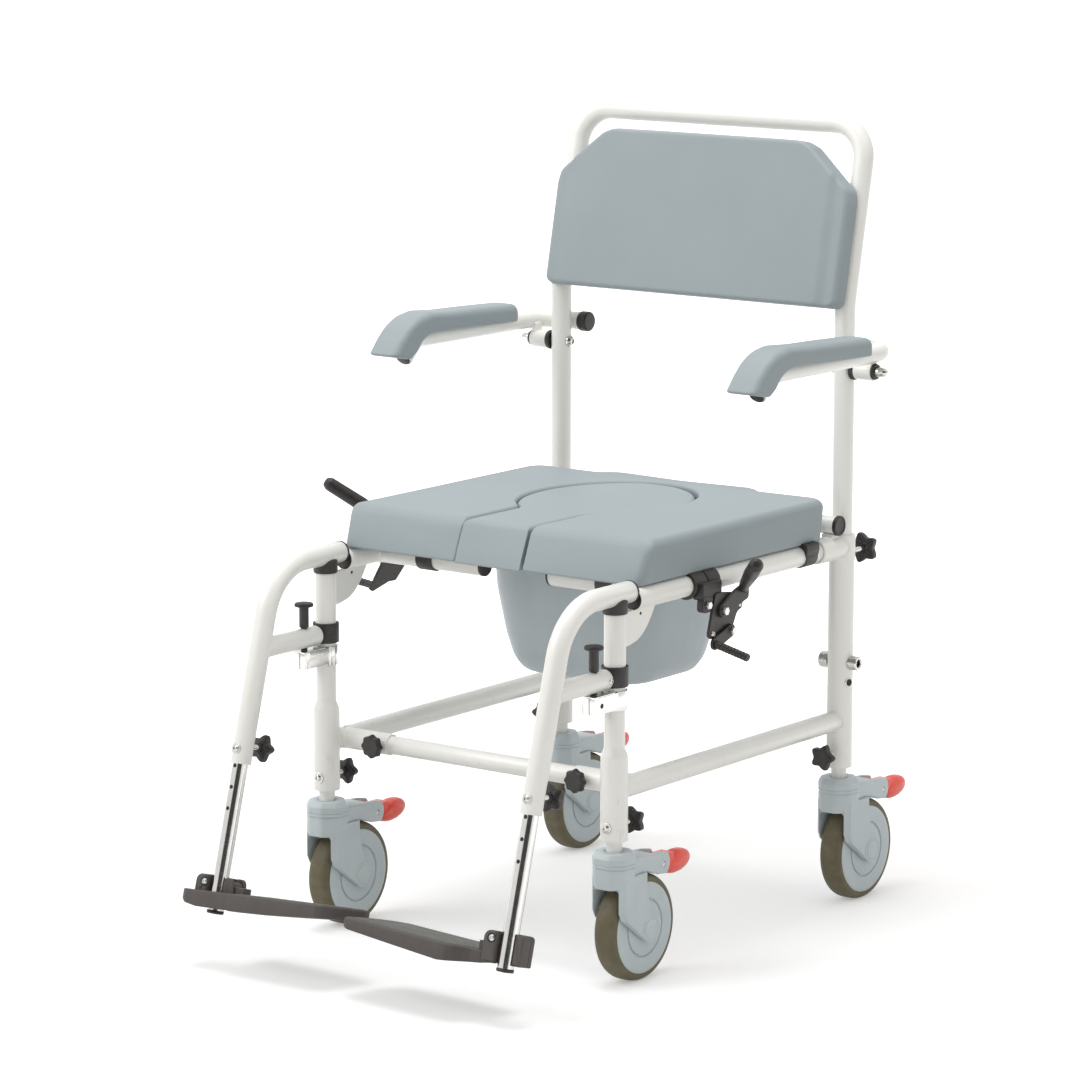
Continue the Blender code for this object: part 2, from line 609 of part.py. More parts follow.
def footplate_outline(side):
    """Points (inward, forward) round the plate, and how thick it is there."""
    if side == "right":
        return [
            (0.0290, 0.0100, 0.014), (0.0440, 0.0105, 0.016), (0.0520, 0.0150, 0.017),
            (0.0600, 0.0235, 0.018), (0.0680, 0.0275, 0.019), (0.0780, 0.0280, 0.0200),
            (0.1400, 0.0240, 0.0170), (0.2150, 0.0190, 0.0130), (0.2225, 0.0150, 0.0110),
            (0.2240, 0.0060, 0.0105), (0.2210, -0.0100, 0.0110), (0.2135, -0.0320, 0.0115),
            (0.2020, -0.0500, 0.0120), (0.1850, -0.0615, 0.0130), (0.0900, -0.0580, 0.0170),
            (0.0340, -0.0545, 0.0150), (0.0290, -0.0480, 0.0140),
        ]
    return [
        (0.0320, 0.0222, 0.0205), (0.0500, 0.0222, 0.0205), (0.1100, 0.0222, 0.0180),
        (0.1600, 0.0215, 0.0150), (0.1680, 0.0180, 0.0145), (0.1900, -0.0330, 0.0125),
        (0.1895, -0.0430, 0.0120), (0.1800, -0.0520, 0.0125), (0.1650, -0.0560, 0.0130),
        (0.0900, -0.0590, 0.0170), (0.0400, -0.0580, 0.0150), (0.0318, -0.0500, 0.0140),
    ]


def footplate_wall():
    """The left plate's front wall, which passes in front of the tube."""
    return [
        (-0.0380, 0.0128, 0.0115), (-0.0370, 0.0188, 0.0125), (-0.0310, 0.0216, 0.0165),
        (-0.0150, 0.0218, 0.0192), (0.0400, 0.0218, 0.0195), (0.0400, 0.0128, 0.0195),
    ]


def tread_slab(name, side, sign, outline, finish_name, drop=0.0):
    """A slab under the sloping top plane, as thick at each point as its outline says."""
    hinge = hinge_frame(side, sign)
    top_at_hinge = {"right": -0.0145, "left": -0.0070}[side] - drop
    mesh = bmesh.new()
    upper = []
    lower = []
    for inward, forward, thick in outline:
        inward -= HINGE_P
        top = top_at_hinge + PLATE_RISE[side] * inward
        upper.append(mesh.verts.new(hinge @ Vector((inward, forward, top))))
        lower.append(mesh.verts.new(hinge @ Vector((inward, forward, top - thick))))
    mesh.faces.new(upper)
    count = len(upper)
    for index in range(count):
        following = (index + 1) % count
        mesh.faces.new((upper[index], upper[following], lower[following], lower[index]))
    bottom = mesh.faces.new(lower)
    bmesh.ops.triangulate(mesh, faces=[bottom])
    return finish(name, mesh, finish_name, smooth=False)


def footplate(side, sign):
    """A wedge-shaped tread with a knuckle on the hinge pin."""
    hinge = hinge_frame(side, sign)
    tread = tread_slab(f"footplate_{side}", side, sign, footplate_outline(side), "footplate_plastic")
    if side == "left":
        join(tread, tread_slab("wall", side, sign, footplate_wall(), None, drop=0.0004))
    knuckle = bar_in("knuckle", hinge, [(0, -0.0112, 0), (0, 0.0032, 0)], 0.0062, 14)
    strap_top = {"right": -0.0035, "left": 0.0010}[side]
    strap = box_in("strap", hinge, (-0.0005, -0.0112, -0.0200), (0.0200, 0.0032, strap_top))
    join(tread, knuckle, strap)
    hole = bar_in("hole", hinge, [(0, -0.03, 0), (0, 0.03, 0)], 0.0034)
    cut(tread, hole)
    return hang(tread, hinge.translation)


# Knobs

def star_knob(name, stud_tip, axis, stud, radius, thick, lobes):
    """A lobed knob on a stud; the stud's tip is at the given point and the axis points outward."""
    axis = Vector(axis).normalized()
    turn = Vector((0, 0, 1)).rotation_difference(axis).to_matrix().to_4x4()
    frame = Matrix.Translation(Vector(stud_tip)) @ turn
    outline = []
    count = lobes * 4
    for index in range(count):
        angle = 2 * pi * index / count
        reach = radius * (1 - 0.12 * (1 - cos(lobes * angle)))
        outline.append((reach * cos(angle), reach * sin(angle)))
    knob = plate(name, outline, stud, stud + thick, frame, "black")
    shaft = bar_in("shaft", frame, [(0, 0, 0), (0, 0, stud + thick / 2)], 0.003, 8)
    join(knob, shaft)
    return hang(knob, stud_tip)


def knobs(side, sign):
    x = sign * FRAME_X
    star_knob(f"back_knob_{side}", (x, REAR_LEG_Y + 0.0168, 0.434), (0, 1, 0),
              stud=0.0265, radius=0.019, thick=0.012, lobes=5)
    tip = Vector((x, hanger_y(0.2516), 0.2516))
    away = Vector((0, 1, -HANGER_SLOPE)).normalized()
    star_knob(f"hanger_knob_{side}", tip + away * 0.0130, away, stud=0.0160, radius=0.017, thick=0.012, lobes=5)
    star_knob(f"cross_bar_knob_{side}", (sign * 0.1485, CROSS_BAR_Y - 0.0130, LOWER_RAIL_Z), (0, -1, 0),
              stud=0.0040, radius=0.0145, thick=0.0085, lobes=6)


# Brakes

def brake_frame(side, sign):
    """Axes front to rear, up, and outward, turned round the seat rail and slid along it."""
    axes = Matrix(((0, 0, sign), (1, 0, 0), (0, 1, 0))).to_4x4()
    centre = Matrix.Translation((sign * FRAME_X, 0, SEAT_RAIL_Z))
    turn = centre @ Matrix.Rotation(-sign * BRAKE_TURN[side], 4, "Y") @ centre.inverted()
    return Matrix.Translation((0, BRAKE_SLIDE[side], 0)) @ turn @ axes


def flat(name, side, sign, outline, low, high, finish_name=None):
    return plate(name, outline, low, high, brake_frame(side, sign), finish_name)


def brake_point(side, sign, y, z, out):
    return brake_frame(side, sign) @ Vector((y, z, out))


def brake_bar(name, side, sign, ends, radius, sides=10):
    return bar(name, [brake_point(side, sign, *end) for end in ends], radius, None, sides)


def strap_outline(start, end, radius, steps=4):
    """A link outline: two round ends joined by tangent sides."""
    heading = degrees(atan2(end[1] - start[1], end[0] - start[0]))
    return (arc(end, radius, heading - 90, heading + 90, steps)
            + arc(start, radius, heading + 90, heading + 270, steps))


def brake_clamp(side, sign):
    """A collar round the seat rail and the plate that carries both pivots."""
    x = FRAME_X
    ends = [(-0.048, SEAT_RAIL_Z, x), (0.003, SEAT_RAIL_Z, x)]
    points = [brake_point(side, sign, *end) for end in ends]
    clamp = bar(f"brake_clamp_{side}", points, 0.0165, "black")
    pad = flat("pad", side, sign, [(-0.042, 0.4275), (-0.004, 0.4275), (-0.004, 0.4480), (-0.042, 0.4480)],
               0.2180, 0.2325)
    outline = [(-0.0410, 0.4250), (-0.0390, 0.3890), (-0.0300, 0.3840), (0.0120, 0.3795), (0.0165, 0.3900),
               (0.0250, 0.4080), (0.0400, 0.4090), (0.0420, 0.4180), (0.0200, 0.4300), (-0.0100, 0.4340),
               (-0.0360, 0.4330)]
    carrier = flat("carrier", side, sign, outline, 0.2310, 0.2345)
    join(clamp, pad, carrier)
    points = [brake_point(side, sign, *end) for end in ((-0.07, SEAT_RAIL_Z, x), (0.03, SEAT_RAIL_Z, x))]
    cut(clamp, bar("rail", points, TUBE_R + GAP, None))
    pins = []
    for y, z in (LEVER_PIVOT, BRAKE_ARM_PIVOT):
        pins.append(brake_bar("pin", side, sign, [(y, z, 0.2320), (y, z, 0.2400)], 0.0030))
    return join(clamp, *pins)


def brake_lever(side, sign):
    """A cranked strap with a grip that leans forward and outward."""
    y, z = LEVER_PIVOT
    outline = arc((y, z), 0.0080, 110, 290, 5)
    outline += [(0.0100, 0.4110), (0.0420, 0.4200), (0.0435, 0.4330), (0.0330, 0.4390), (0.0140, 0.4330)]
    lever = flat(f"brake_lever_{side}", side, sign, outline, 0.2349, 0.2389, "black")
    rod = brake_bar("rod", side, sign, [(0.0360, 0.4320, 0.2360), (0.0150, 0.4400, 0.2500)], 0.0060)
    grip = brake_bar("grip", side, sign, [(0.0200, 0.4385, 0.2468), GRIP_TIP[side]], 0.0083)
    join(lever, rod, grip)
    hole = brake_bar("hole", side, sign, [(y, z, 0.2300), (y, z, 0.2450)], 0.0033)
    cut(lever, hole)
    return hang(lever, brake_point(side, sign, y, z, 0.2369))


def brake_arm(side, sign):
    """A short link with the peg that would press on a large rear wheel."""
    y, z = BRAKE_ARM_PIVOT
    outline = strap_outline((y, z), (-0.0240, 0.3760), 0.0075)
    arm = flat(f"brake_arm_{side}", side, sign, outline, 0.2349, 0.2387, "black")
    peg = brake_bar("peg", side, sign, [(-0.0240, 0.3760, 0.2360), (-0.0270, 0.3655, 0.2850)], 0.0048)
    join(arm, peg)
    hole = brake_bar("hole", side, sign, [(y, z, 0.2300), (y, z, 0.2450)], 0.0033)
    cut(arm, hole)
    return hang(arm, brake_point(side, sign, y, z, 0.2368))


# Seat, lid and pan

def keyhole(inset):
    """Half the seat opening's outline, from the front of the neck round to the back."""
    centre_y = 0.0925
    half_x = 0.0985 - inset
    half_y = 0.1275 - inset
    neck = 0.0490 - inset
    start = -0.5 * pi + 0.5
    points = [(neck, -0.1455), (neck, -0.0350)]
    steps = 12
    for index in range(steps + 1):
        angle = start + (0.5 * pi - start) * index / steps
        points.append((half_x * cos(angle), centre_y + half_y * sin(angle)))
    return points


def seat_pad():
    """A horseshoe cushion, open at the front, with a narrower part at the back."""
    hole = keyhole(0.0)
    outer = [(0.2204, -0.1455), (0.2204, 0.2300), (0.2130, 0.2400)]
    half = hole[:-1] + [(0.0, hole[-1][1])]
    right = list(reversed(half)) + outer
    outline = right + [(-x, y) for x, y in reversed(outer)] + [(-x, y) for x, y in half[:-1]]
    mesh = bmesh.new()
    low, high = SEAT_Z
    base = []
    top = []
    for x, y in outline:
        lean = 0.0
        if y < -0.14 and abs(x) > 0.03:
            lean = 0.0200
        edge = 0.003 if abs(x) > 0.20 else 0.0
        base.append(mesh.verts.new((x, y, low)))
        top.append(mesh.verts.new((x - edge * (1 if x > 0 else -1), y + lean, high)))
    mesh.faces.new(base)
    mesh.faces.new(top)
    count = len(base)
    for index in range(count):
        following = (index + 1) % count
        mesh.faces.new((base[index], base[following], top[following], top[index]))
    pad = finish("seat_pad", mesh, "cushion", smooth=False)
    tail = [(0.1244, 0.2300), (0.1244, 0.2410), (0.1140, 0.2520), (0.1060, 0.2580)]
    tail += [(-x, y) for x, y in reversed(tail)]
    join(pad, plate("tail", tail, REAR_TUBE_Z + 0.0137, high - 0.0006, Matrix.Identity(4), None))
    return hang(pad, (0, 0, low))


def seat_lid():
    """The cushion that fills the opening, with a lip down over the front rail stubs."""
    half = keyhole(0.0018)
    outline = half[:-1] + [(0.0, half[-1][1])] + [(-x, y) for x, y in reversed(half[:-1])]
    lid = plate("seat_lid", outline, SEAT_Z[0] + GAP, 0.5030, Matrix.Identity(4), "cushion")
    lip = block("lip", (-0.0470, -0.1455, 0.4572), (0.0470, -0.1380, 0.4700), None)
    join(lid, lip)
    return hang(lid, (0, 0, SEAT_Z[0]))


def pan_ring(half_x, half_y, radius, steps=4):
    """A rounded rectangle round the pan's centre."""
    points = []
    for number, (sign_x, sign_y) in enumerate(((1, 1), (-1, 1), (-1, -1), (1, -1))):
        centre = (sign_x * (half_x - radius), PAN_CENTRE_Y + sign_y * (half_y - radius))
        points += arc(centre, radius, 90 * number, 90 * number + 90, steps)
    return points


def pan():
    """A deep tub with a flange that slides in the carrier's runners."""
    sections = [
        (0.0780, 0.0630, 0.030, 0.2950), (0.0900, 0.0750, 0.038, 0.2990), (0.1010, 0.0860, 0.045, 0.3130),
        (0.1100, 0.0950, 0.052, 0.3450), (0.1195, 0.1045, 0.058, 0.4000), (0.1222, 0.1070, 0.060, 0.4490),
        (0.1290, 0.1135, 0.064, 0.4490), (0.1290, 0.1135, 0.064, 0.4520), (0.1198, 0.1046, 0.058, 0.4520),
        (0.1170, 0.1020, 0.056, 0.4000), (0.1075, 0.0925, 0.050, 0.3450), (0.0980, 0.0830, 0.043, 0.3150),
        (0.0880, 0.0730, 0.036, 0.3025), (0.0760, 0.0610, 0.028, 0.2985),
    ]
    mesh = bmesh.new()
    rings = []
    for half_x, half_y, radius, z in sections:
        rings.append([mesh.verts.new((x, y, z)) for x, y in pan_ring(half_x, half_y, radius)])
    for low, high in zip(rings, rings[1:]):
        count = len(low)
        for index in range(count):
            following = (index + 1) % count
            mesh.faces.new((low[index], low[following], high[following], high[index]))
    mesh.faces.new(rings[0])
    mesh.faces.new(rings[-1])
    tub = finish("pan", mesh, "pan_plastic")
    return hang(tub, (0, PAN_CENTRE_Y, 0.449))


def pan_carrier():
    """Two runners hung from straps that lie across the seat rails."""
    low_z = SEAT_RAIL_Z + TUBE_R + GAP
    straps = []
    for y in (0.0040, 0.2030):
        straps.append(block("strap", (-0.210, y, low_z), (0.210, y + 0.020, low_z + 0.003), None))
    runners = []
    for _, sign in SIDES:
        low, high = side_span(sign, 0.1312, 0.1335)
        runners.append(block("wall", (low, -0.0200, 0.4465), (high, 0.2320, low_z + 0.002), None))
        low, high = side_span(sign, 0.1240, 0.1325)
        runners.append(block("lip", (low, -0.0200, 0.4465), (high, 0.2320, 0.4486), None))
    carrier = block("pan_carrier", (-0.120, 0.0045, low_z + 0.0002), (0.120, 0.0235, low_z + 0.0028), "paint")
    return join(carrier, *straps, *runners)


def build():
    clear_scene()
    for side, sign in SIDES:
        front_leg(side, sign)
        rear_leg(side, sign)
        seat_rail(side, sign)
        lower_rail(side, sign)
        for place, y in (("front", FRONT_LEG_Y), ("rear", REAR_LEG_Y)):
            corner = f"{place}_{side}"
            leg_insert(corner, sign * FRAME_X, y)
            caster_fork(corner, sign * FRAME_X, y)
            caster_wheel(corner, sign * FRAME_X, y)
            caster_pedal(corner, sign * FRAME_X, y)
        arm_tube(side, sign)
        arm_pad(side, sign)
        footrest_hanger(side, sign)
        latch_bracket(side, sign)
        latch_plunger(side, sign)
        footrest_tube(side, sign)
        footplate_hub(side, sign)
        footplate(side, sign)
        knobs(side, sign)
        brake_clamp(side, sign)
        brake_lever(side, sign)
        brake_arm(side, sign)
    cross_members()
    back_frame()
    back_pad()
    seat_pad()
    seat_lid()
    pan()
    pan_carrier()


build()
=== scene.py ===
from math import acos, atan, cos, pi, radians, sin, tan

import bmesh
import bpy
import numpy as np
from mathutils import Matrix, Vector


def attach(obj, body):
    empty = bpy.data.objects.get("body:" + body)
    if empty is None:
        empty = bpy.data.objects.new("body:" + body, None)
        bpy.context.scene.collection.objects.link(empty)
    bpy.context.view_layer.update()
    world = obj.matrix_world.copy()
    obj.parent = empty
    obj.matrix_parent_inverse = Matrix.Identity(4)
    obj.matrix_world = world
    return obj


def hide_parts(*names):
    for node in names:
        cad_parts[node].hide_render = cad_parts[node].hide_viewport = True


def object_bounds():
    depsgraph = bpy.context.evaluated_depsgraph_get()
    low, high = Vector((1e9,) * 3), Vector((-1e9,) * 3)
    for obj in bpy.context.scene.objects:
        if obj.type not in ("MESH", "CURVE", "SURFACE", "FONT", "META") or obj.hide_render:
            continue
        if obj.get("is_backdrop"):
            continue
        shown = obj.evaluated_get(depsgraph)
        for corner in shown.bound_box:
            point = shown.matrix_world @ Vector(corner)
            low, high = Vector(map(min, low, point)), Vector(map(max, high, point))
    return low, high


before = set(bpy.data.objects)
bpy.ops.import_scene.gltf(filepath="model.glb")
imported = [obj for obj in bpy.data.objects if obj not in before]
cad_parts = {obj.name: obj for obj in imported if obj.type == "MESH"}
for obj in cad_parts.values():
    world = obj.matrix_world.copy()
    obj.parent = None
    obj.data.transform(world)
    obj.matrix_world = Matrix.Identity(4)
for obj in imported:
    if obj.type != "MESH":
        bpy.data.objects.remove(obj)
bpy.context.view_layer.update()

# Camera, floor and light. The chair stands on a white studio floor and is seen from its front right,
# slightly from above, through a long lens. The light is soft and comes from the front and the left.

camera_place = Vector((3.17992, -4.32620, 1.42903))
yaw, pitch, roll = radians(36.5916), radians(10.1469), radians(0.0979)
ahead = Vector((-sin(yaw) * cos(pitch), cos(yaw) * cos(pitch), -sin(pitch)))
level = Vector((cos(yaw), sin(yaw), 0.0))
above = level.cross(ahead)
picture_right = level * cos(roll) + above * sin(roll)
picture_up = above * cos(roll) - level * sin(roll)
lens = bpy.data.cameras.new("camera")
lens.sensor_width = 36.0
lens.lens = 153.87
camera = bpy.data.objects.new("camera", lens)
camera.matrix_world = (Matrix.Translation(camera_place)
                       @ Matrix((picture_right, picture_up, -ahead)).transposed().to_4x4())
bpy.context.scene.collection.objects.link(camera)
bpy.context.scene.camera = camera
bpy.context.scene.view_settings.view_transform = "Standard"


def soft_lamp(name, place, aim, size, power):
    """A square panel of light that faces the point it aims at."""
    panel = bpy.data.lights.new(name, "AREA")
    panel.size = size
    panel.energy = power
    lamp = bpy.data.objects.new(name, panel)
    lamp.location = place
    lamp.rotation_euler = (Vector(aim) - Vector(place)).to_track_quat("-Z", "Y").to_euler()
    bpy.context.scene.collection.objects.link(lamp)


soft_lamp("key_panel", (-2.4, -3.0, 3.4), (0.0, 0.0, 0.45), 2.4, 58.0)
soft_lamp("top_panel", (-0.2, -0.1, 3.6), (0.0, 0.0, 0.0), 1.3, 46.0)


def show_white(tree, lit, output):
    """Gives a shader plain white, strength 1, wherever the camera, a gloss or a glass looks at it."""
    path = tree.nodes.new("ShaderNodeLightPath")
    seen = tree.nodes.new("ShaderNodeMath")
    seen.operation = "MAXIMUM"
    clear = tree.nodes.new("ShaderNodeMath")
    clear.operation = "MAXIMUM"
    tree.links.new(path.outputs["Is Camera Ray"], seen.inputs[0])
    tree.links.new(path.outputs["Is Glossy Ray"], seen.inputs[1])
    tree.links.new(seen.outputs[0], clear.inputs[0])
    tree.links.new(path.outputs["Is Transmission Ray"], clear.inputs[1])
    mix = tree.nodes.new("ShaderNodeMixShader")
    tree.links.new(clear.outputs[0], mix.inputs[0])
    tree.links.new(lit.outputs[0], mix.inputs[1])
    tree.links.new(mix.outputs[0], output.inputs["Surface"])
    return mix


world = bpy.data.worlds.new("studio")
bpy.context.scene.world = world
world.use_nodes = True
sky = world.node_tree.nodes["Background"]
sky.inputs["Color"].default_value = (1.0, 0.995, 0.98, 1.0)
sky.inputs["Strength"].default_value = 0.64
white_sky = world.node_tree.nodes.new("ShaderNodeBackground")
white_sky.inputs["Color"].default_value = (1.0, 1.0, 1.0, 1.0)
white_sky.inputs["Strength"].default_value = 1.0
sky_mix = show_white(world.node_tree, sky, world.node_tree.nodes["World Output"])
world.node_tree.links.new(white_sky.outputs[0], sky_mix.inputs[2])

floor_data = bpy.data.meshes.new("studio_floor")
floor_data.from_pydata([(-30, -30, 0), (30, -30, 0), (30, 30, 0), (-30, 30, 0)], [], [(0, 1, 2, 3)])
floor = bpy.data.objects.new("studio_floor", floor_data)
bpy.context.scene.collection.objects.link(floor)
floor_white = bpy.data.materials.new("floor_white")
floor_white.use_nodes = True
floor_tree = floor_white.node_tree
floor_tree.nodes.remove(floor_tree.nodes["Principled BSDF"])
floor_lit = floor_tree.nodes.new("ShaderNodeBsdfDiffuse")
floor_lit.inputs["Color"].default_value = (0.72, 0.72, 0.71, 1.0)
floor_glow = floor_tree.nodes.new("ShaderNodeEmission")
floor_place = floor_tree.nodes.new("ShaderNodeTexCoord")
floor_reach = floor_tree.nodes.new("ShaderNodeVectorMath")
floor_reach.operation = "LENGTH"
floor_tree.links.new(floor_place.outputs["Object"], floor_reach.inputs[0])
floor_fade = floor_tree.nodes.new("ShaderNodeMapRange")
for socket, value in (("From Min", 0.55), ("From Max", 1.35), ("To Min", 0.34), ("To Max", 1.0)):
    floor_fade.inputs[socket].default_value = value
floor_tree.links.new(floor_reach.outputs["Value"], floor_fade.inputs["Value"])
floor_tree.links.new(floor_fade.outputs["Result"], floor_glow.inputs["Color"])
floor_shadow = floor_tree.nodes.new("ShaderNodeBsdfDiffuse")
floor_shadow.inputs["Color"].default_value = (0.80, 0.80, 0.80, 1.0)
floor_sum = floor_tree.nodes.new("ShaderNodeAddShader")
floor_tree.links.new(floor_shadow.outputs[0], floor_sum.inputs[0])
floor_tree.links.new(floor_glow.outputs[0], floor_sum.inputs[1])
floor_mix = show_white(floor_tree, floor_lit, floor_tree.nodes["Material Output"])
floor_tree.links.new(floor_sum.outputs[0], floor_mix.inputs[2])
floor_data.materials.append(floor_white)
floor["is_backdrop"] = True

# A dark curtain behind the camera, seen only in reflections: it gives the chromed tubes their dark band.
toward = Vector((-ahead.x, -ahead.y, 0.0)).normalized()
beside = Vector((level.x, level.y, 0.0)).normalized()
curtain_points = [toward * 7.0 + beside * across + Vector((0.0, 0.0, height))
                  for across, height in ((-5.2, 0.05), (3.4, 0.05), (3.4, 14.0), (-5.2, 14.0))]
curtain_data = bpy.data.meshes.new("studio_curtain")
curtain_data.from_pydata([tuple(point) for point in curtain_points], [], [(0, 1, 2, 3)])
curtain = bpy.data.objects.new("studio_curtain", curtain_data)
bpy.context.scene.collection.objects.link(curtain)
curtain_dark = bpy.data.materials.new("curtain_dark")
curtain_dark.use_nodes = True
curtain_dark.node_tree.nodes["Principled BSDF"].inputs["Base Color"].default_value = (0.03, 0.03, 0.03, 1.0)
curtain_data.materials.append(curtain_dark)
curtain.visible_camera = False
curtain.visible_diffuse = False
curtain.visible_shadow = False
curtain.visible_transmission = False
curtain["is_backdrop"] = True


# Frame tubes. Two side frames of 25 mm steel tube, each a front leg, a rear leg, a seat rail and a lower
# rail, are welded up and powder-coated warm white. Cross tubes join the two sides.


class Value:
    """A shader socket that sums, differences, products and powers can be written with."""

    def __init__(self, finish, socket):
        self.finish = finish
        self.socket = socket

    def math(self, operation, first, second=0.0):
        return self.finish.node("ShaderNodeMath", {"operation": operation}, {0: first, 1: second})

    def __add__(self, other):
        return self.math("ADD", self, other)

    def __radd__(self, other):
        return self.math("ADD", other, self)

    def __sub__(self, other):
        return self.math("SUBTRACT", self, other)

    def __rsub__(self, other):
        return self.math("SUBTRACT", other, self)

    def __mul__(self, other):
        return self.math("MULTIPLY", self, other)

    def __rmul__(self, other):
        return self.math("MULTIPLY", other, self)

    def __truediv__(self, other):
        return self.math("DIVIDE", self, other)

    def __pow__(self, other):
        return self.math("POWER", self, other)

    def between(self, low, high):
        """0 below the low value, 1 above the high one, and a straight rise between them."""
        part = (self - low) * (1.0 / (high - low))
        return self.finish.node("ShaderNodeClamp", {}, {"Value": part})


def linear(red, green, blue):
    """A colour of 0 to 255 per channel as the shader's linear colour."""
    share = np.array((red, green, blue)) / 255.0
    dark = share / 12.92
    light = ((share + 0.055) / 1.055) ** 2.4
    return (*np.where(share <= 0.04045, dark, light).tolist(), 1.0)


class Finish:
    """A named surface finish: one Principled shader whose patterns follow the object's own coordinates."""

    def __init__(self, name, slot, colour, roughness, metallic=0.0, fixed=None):
        self.slot = slot
        self.colour = linear(*colour)
        self.roughness = roughness
        self.material = bpy.data.materials.new(name)
        self.material.use_nodes = True
        self.tree = self.material.node_tree
        self.shader = self.tree.nodes["Principled BSDF"]
        self.shader.inputs["Base Color"].default_value = self.colour
        self.shader.inputs["Roughness"].default_value = roughness
        self.shader.inputs["Metallic"].default_value = metallic
        for socket, value in (fixed or {}).items():
            self.shader.inputs[socket].default_value = value
        self.place = self.node("ShaderNodeTexCoord", {}, {}, "Object")

    def node(self, kind, settings, sockets, output=0):
        """Adds one node: its settings first, then a value or a link for each socket."""
        made = self.tree.nodes.new(kind)
        for setting, value in settings.items():
            setattr(made, setting, value)
        for socket, value in sockets.items():
            if isinstance(value, Value):
                self.tree.links.new(value.socket, made.inputs[socket])
            else:
                made.inputs[socket].default_value = value
        return Value(self, made.outputs[output])

    def noise(self, scale, detail=2.0, stretch=(1.0, 1.0, 1.0)):
        """Cloudy noise from 0 to 1; the scale counts its features in a metre."""
        spot = self.node("ShaderNodeMapping", {}, {"Vector": self.place, "Scale": stretch})
        return self.node("ShaderNodeTexNoise", {}, {"Vector": spot, "Scale": scale, "Detail": detail})

    def cells(self, scale):
        """Distance to the nearest of a scatter of points; the scale counts them in a metre."""
        return self.node("ShaderNodeTexVoronoi", {}, {"Vector": self.place, "Scale": scale}, "Distance")

    def height(self, axis):
        """How far along X, Y or Z of the row frame a point is."""
        return self.node("ShaderNodeSeparateXYZ", {}, {"Vector": self.place}, axis)

    def blend(self, amount, first, second):
        """The first colour where the amount is 0 and the second where it is 1."""
        sockets = {0: amount, 6: first, 7: second}
        return self.node("ShaderNodeMix", {"data_type": "RGBA"}, sockets, 2)

    def tint(self, colour):
        self.tree.links.new(colour.socket, self.shader.inputs["Base Color"])

    def gloss(self, roughness):
        self.tree.links.new(roughness.socket, self.shader.inputs["Roughness"])

    def relief(self, height, distance, strength=1.0):
        """Raises the surface by the height value times the distance in metres."""
        sockets = {"Height": height, "Distance": distance, "Strength": strength}
        bump = self.node("ShaderNodeBump", {}, sockets)
        self.tree.links.new(bump.socket, self.shader.inputs["Normal"])


def powder_coat():
    """Warm white powder coat: a fine orange peel, faint cloudiness, and scuffs near the floor."""
    coat = Finish("powder_coat", "paint", (247, 246, 241), 0.34, fixed={"Coat Weight": 0.5, "Coat Roughness": 0.3})
    cloud = coat.noise(9.0, 3.0)
    scuff = coat.noise(160.0, 4.0, (1.0, 1.0, 0.25)).between(0.60, 0.74)
    low_down = 1.0 - coat.height("Z").between(0.16, 0.34)
    worn = scuff * low_down * 0.5
    clean = coat.blend(cloud.between(0.35, 0.70), linear(246, 245, 239), linear(249, 248, 244))
    coat.tint(coat.blend(worn, clean, linear(222, 218, 206)))
    coat.gloss(0.30 + cloud * 0.08 + worn * 0.25)
    coat.relief(coat.noise(620.0, 2.0), 0.00012, 0.22)
    return coat


def unit(vector):
    """The vector, or each row of vectors, divided by its length."""
    vector = np.asarray(vector, float)
    return vector / np.linalg.norm(vector, axis=-1, keepdims=True)


def rounded(corners, radius, steps=5, closed=False):
    """Corners turned into arcs. A point of an arc is its centre plus the two end spokes a and b mixed as
    (sin((1 - t) w) a + sin(t w) b) / sin w, where w is the angle between the spokes."""
    corners = np.asarray(corners, float)
    count = len(corners)
    radii = np.broadcast_to(np.asarray(radius, float), count)
    runs = []
    for index, corner in enumerate(corners):
        end = not closed and index in (0, count - 1)
        if end or radii[index] <= 0:
            runs.append(corner[None])
            continue
        behind = corners[index - 1] - corner
        onward = corners[(index + 1) % count] - corner
        room = 0.49 * min(np.linalg.norm(behind), np.linalg.norm(onward))
        back, forth = unit(behind), unit(onward)
        half = acos(float(np.clip(back @ forth, -1.0, 1.0))) / 2
        if half > pi / 2 - 0.01:
            runs.append(corner[None])
            continue
        reach = min(radii[index] / tan(half), room)
        middle = corner + unit(back + forth) * reach / cos(half)
        start = corner + back * reach - middle
        stop = corner + forth * reach - middle
        turn = pi - 2 * half
        share = np.linspace(0.0, 1.0, steps + 1)[:, None]
        runs.append(middle + (np.sin((1 - share) * turn) * start + np.sin(share * turn) * stop) / sin(turn))
    return np.concatenate(runs)


def shell(rows, ends="faces"):
    """Rows of points, each a closed ring, joined into quads. The end rows are closed by a face each,
    or joined to each other when the ends are "ring"."""
    rows = np.asarray(rows, float)
    count, around = rows.shape[:2]
    index = np.arange(count * around).reshape(count, around)
    closed = np.vstack([index, index[:1]]) if ends == "ring" else index
    low, high = closed[:-1], closed[1:]
    quads = np.stack([low, np.roll(low, -1, 1), np.roll(high, -1, 1), high], axis=-1).reshape(-1, 4)
    caps = [] if ends == "ring" else [index[0][::-1], index[-1]]
    return rows.reshape(-1, 3), quads, caps


def directions(axis):
    """Two unit vectors square to the axis, and the axis itself."""
    axis = unit(axis)
    up = np.array((0.0, 1.0, 0.0)) if abs(axis[2]) > 0.9 else np.array((0.0, 0.0, 1.0))
    side = unit(np.cross(up, axis))
    return side, np.cross(axis, side), axis


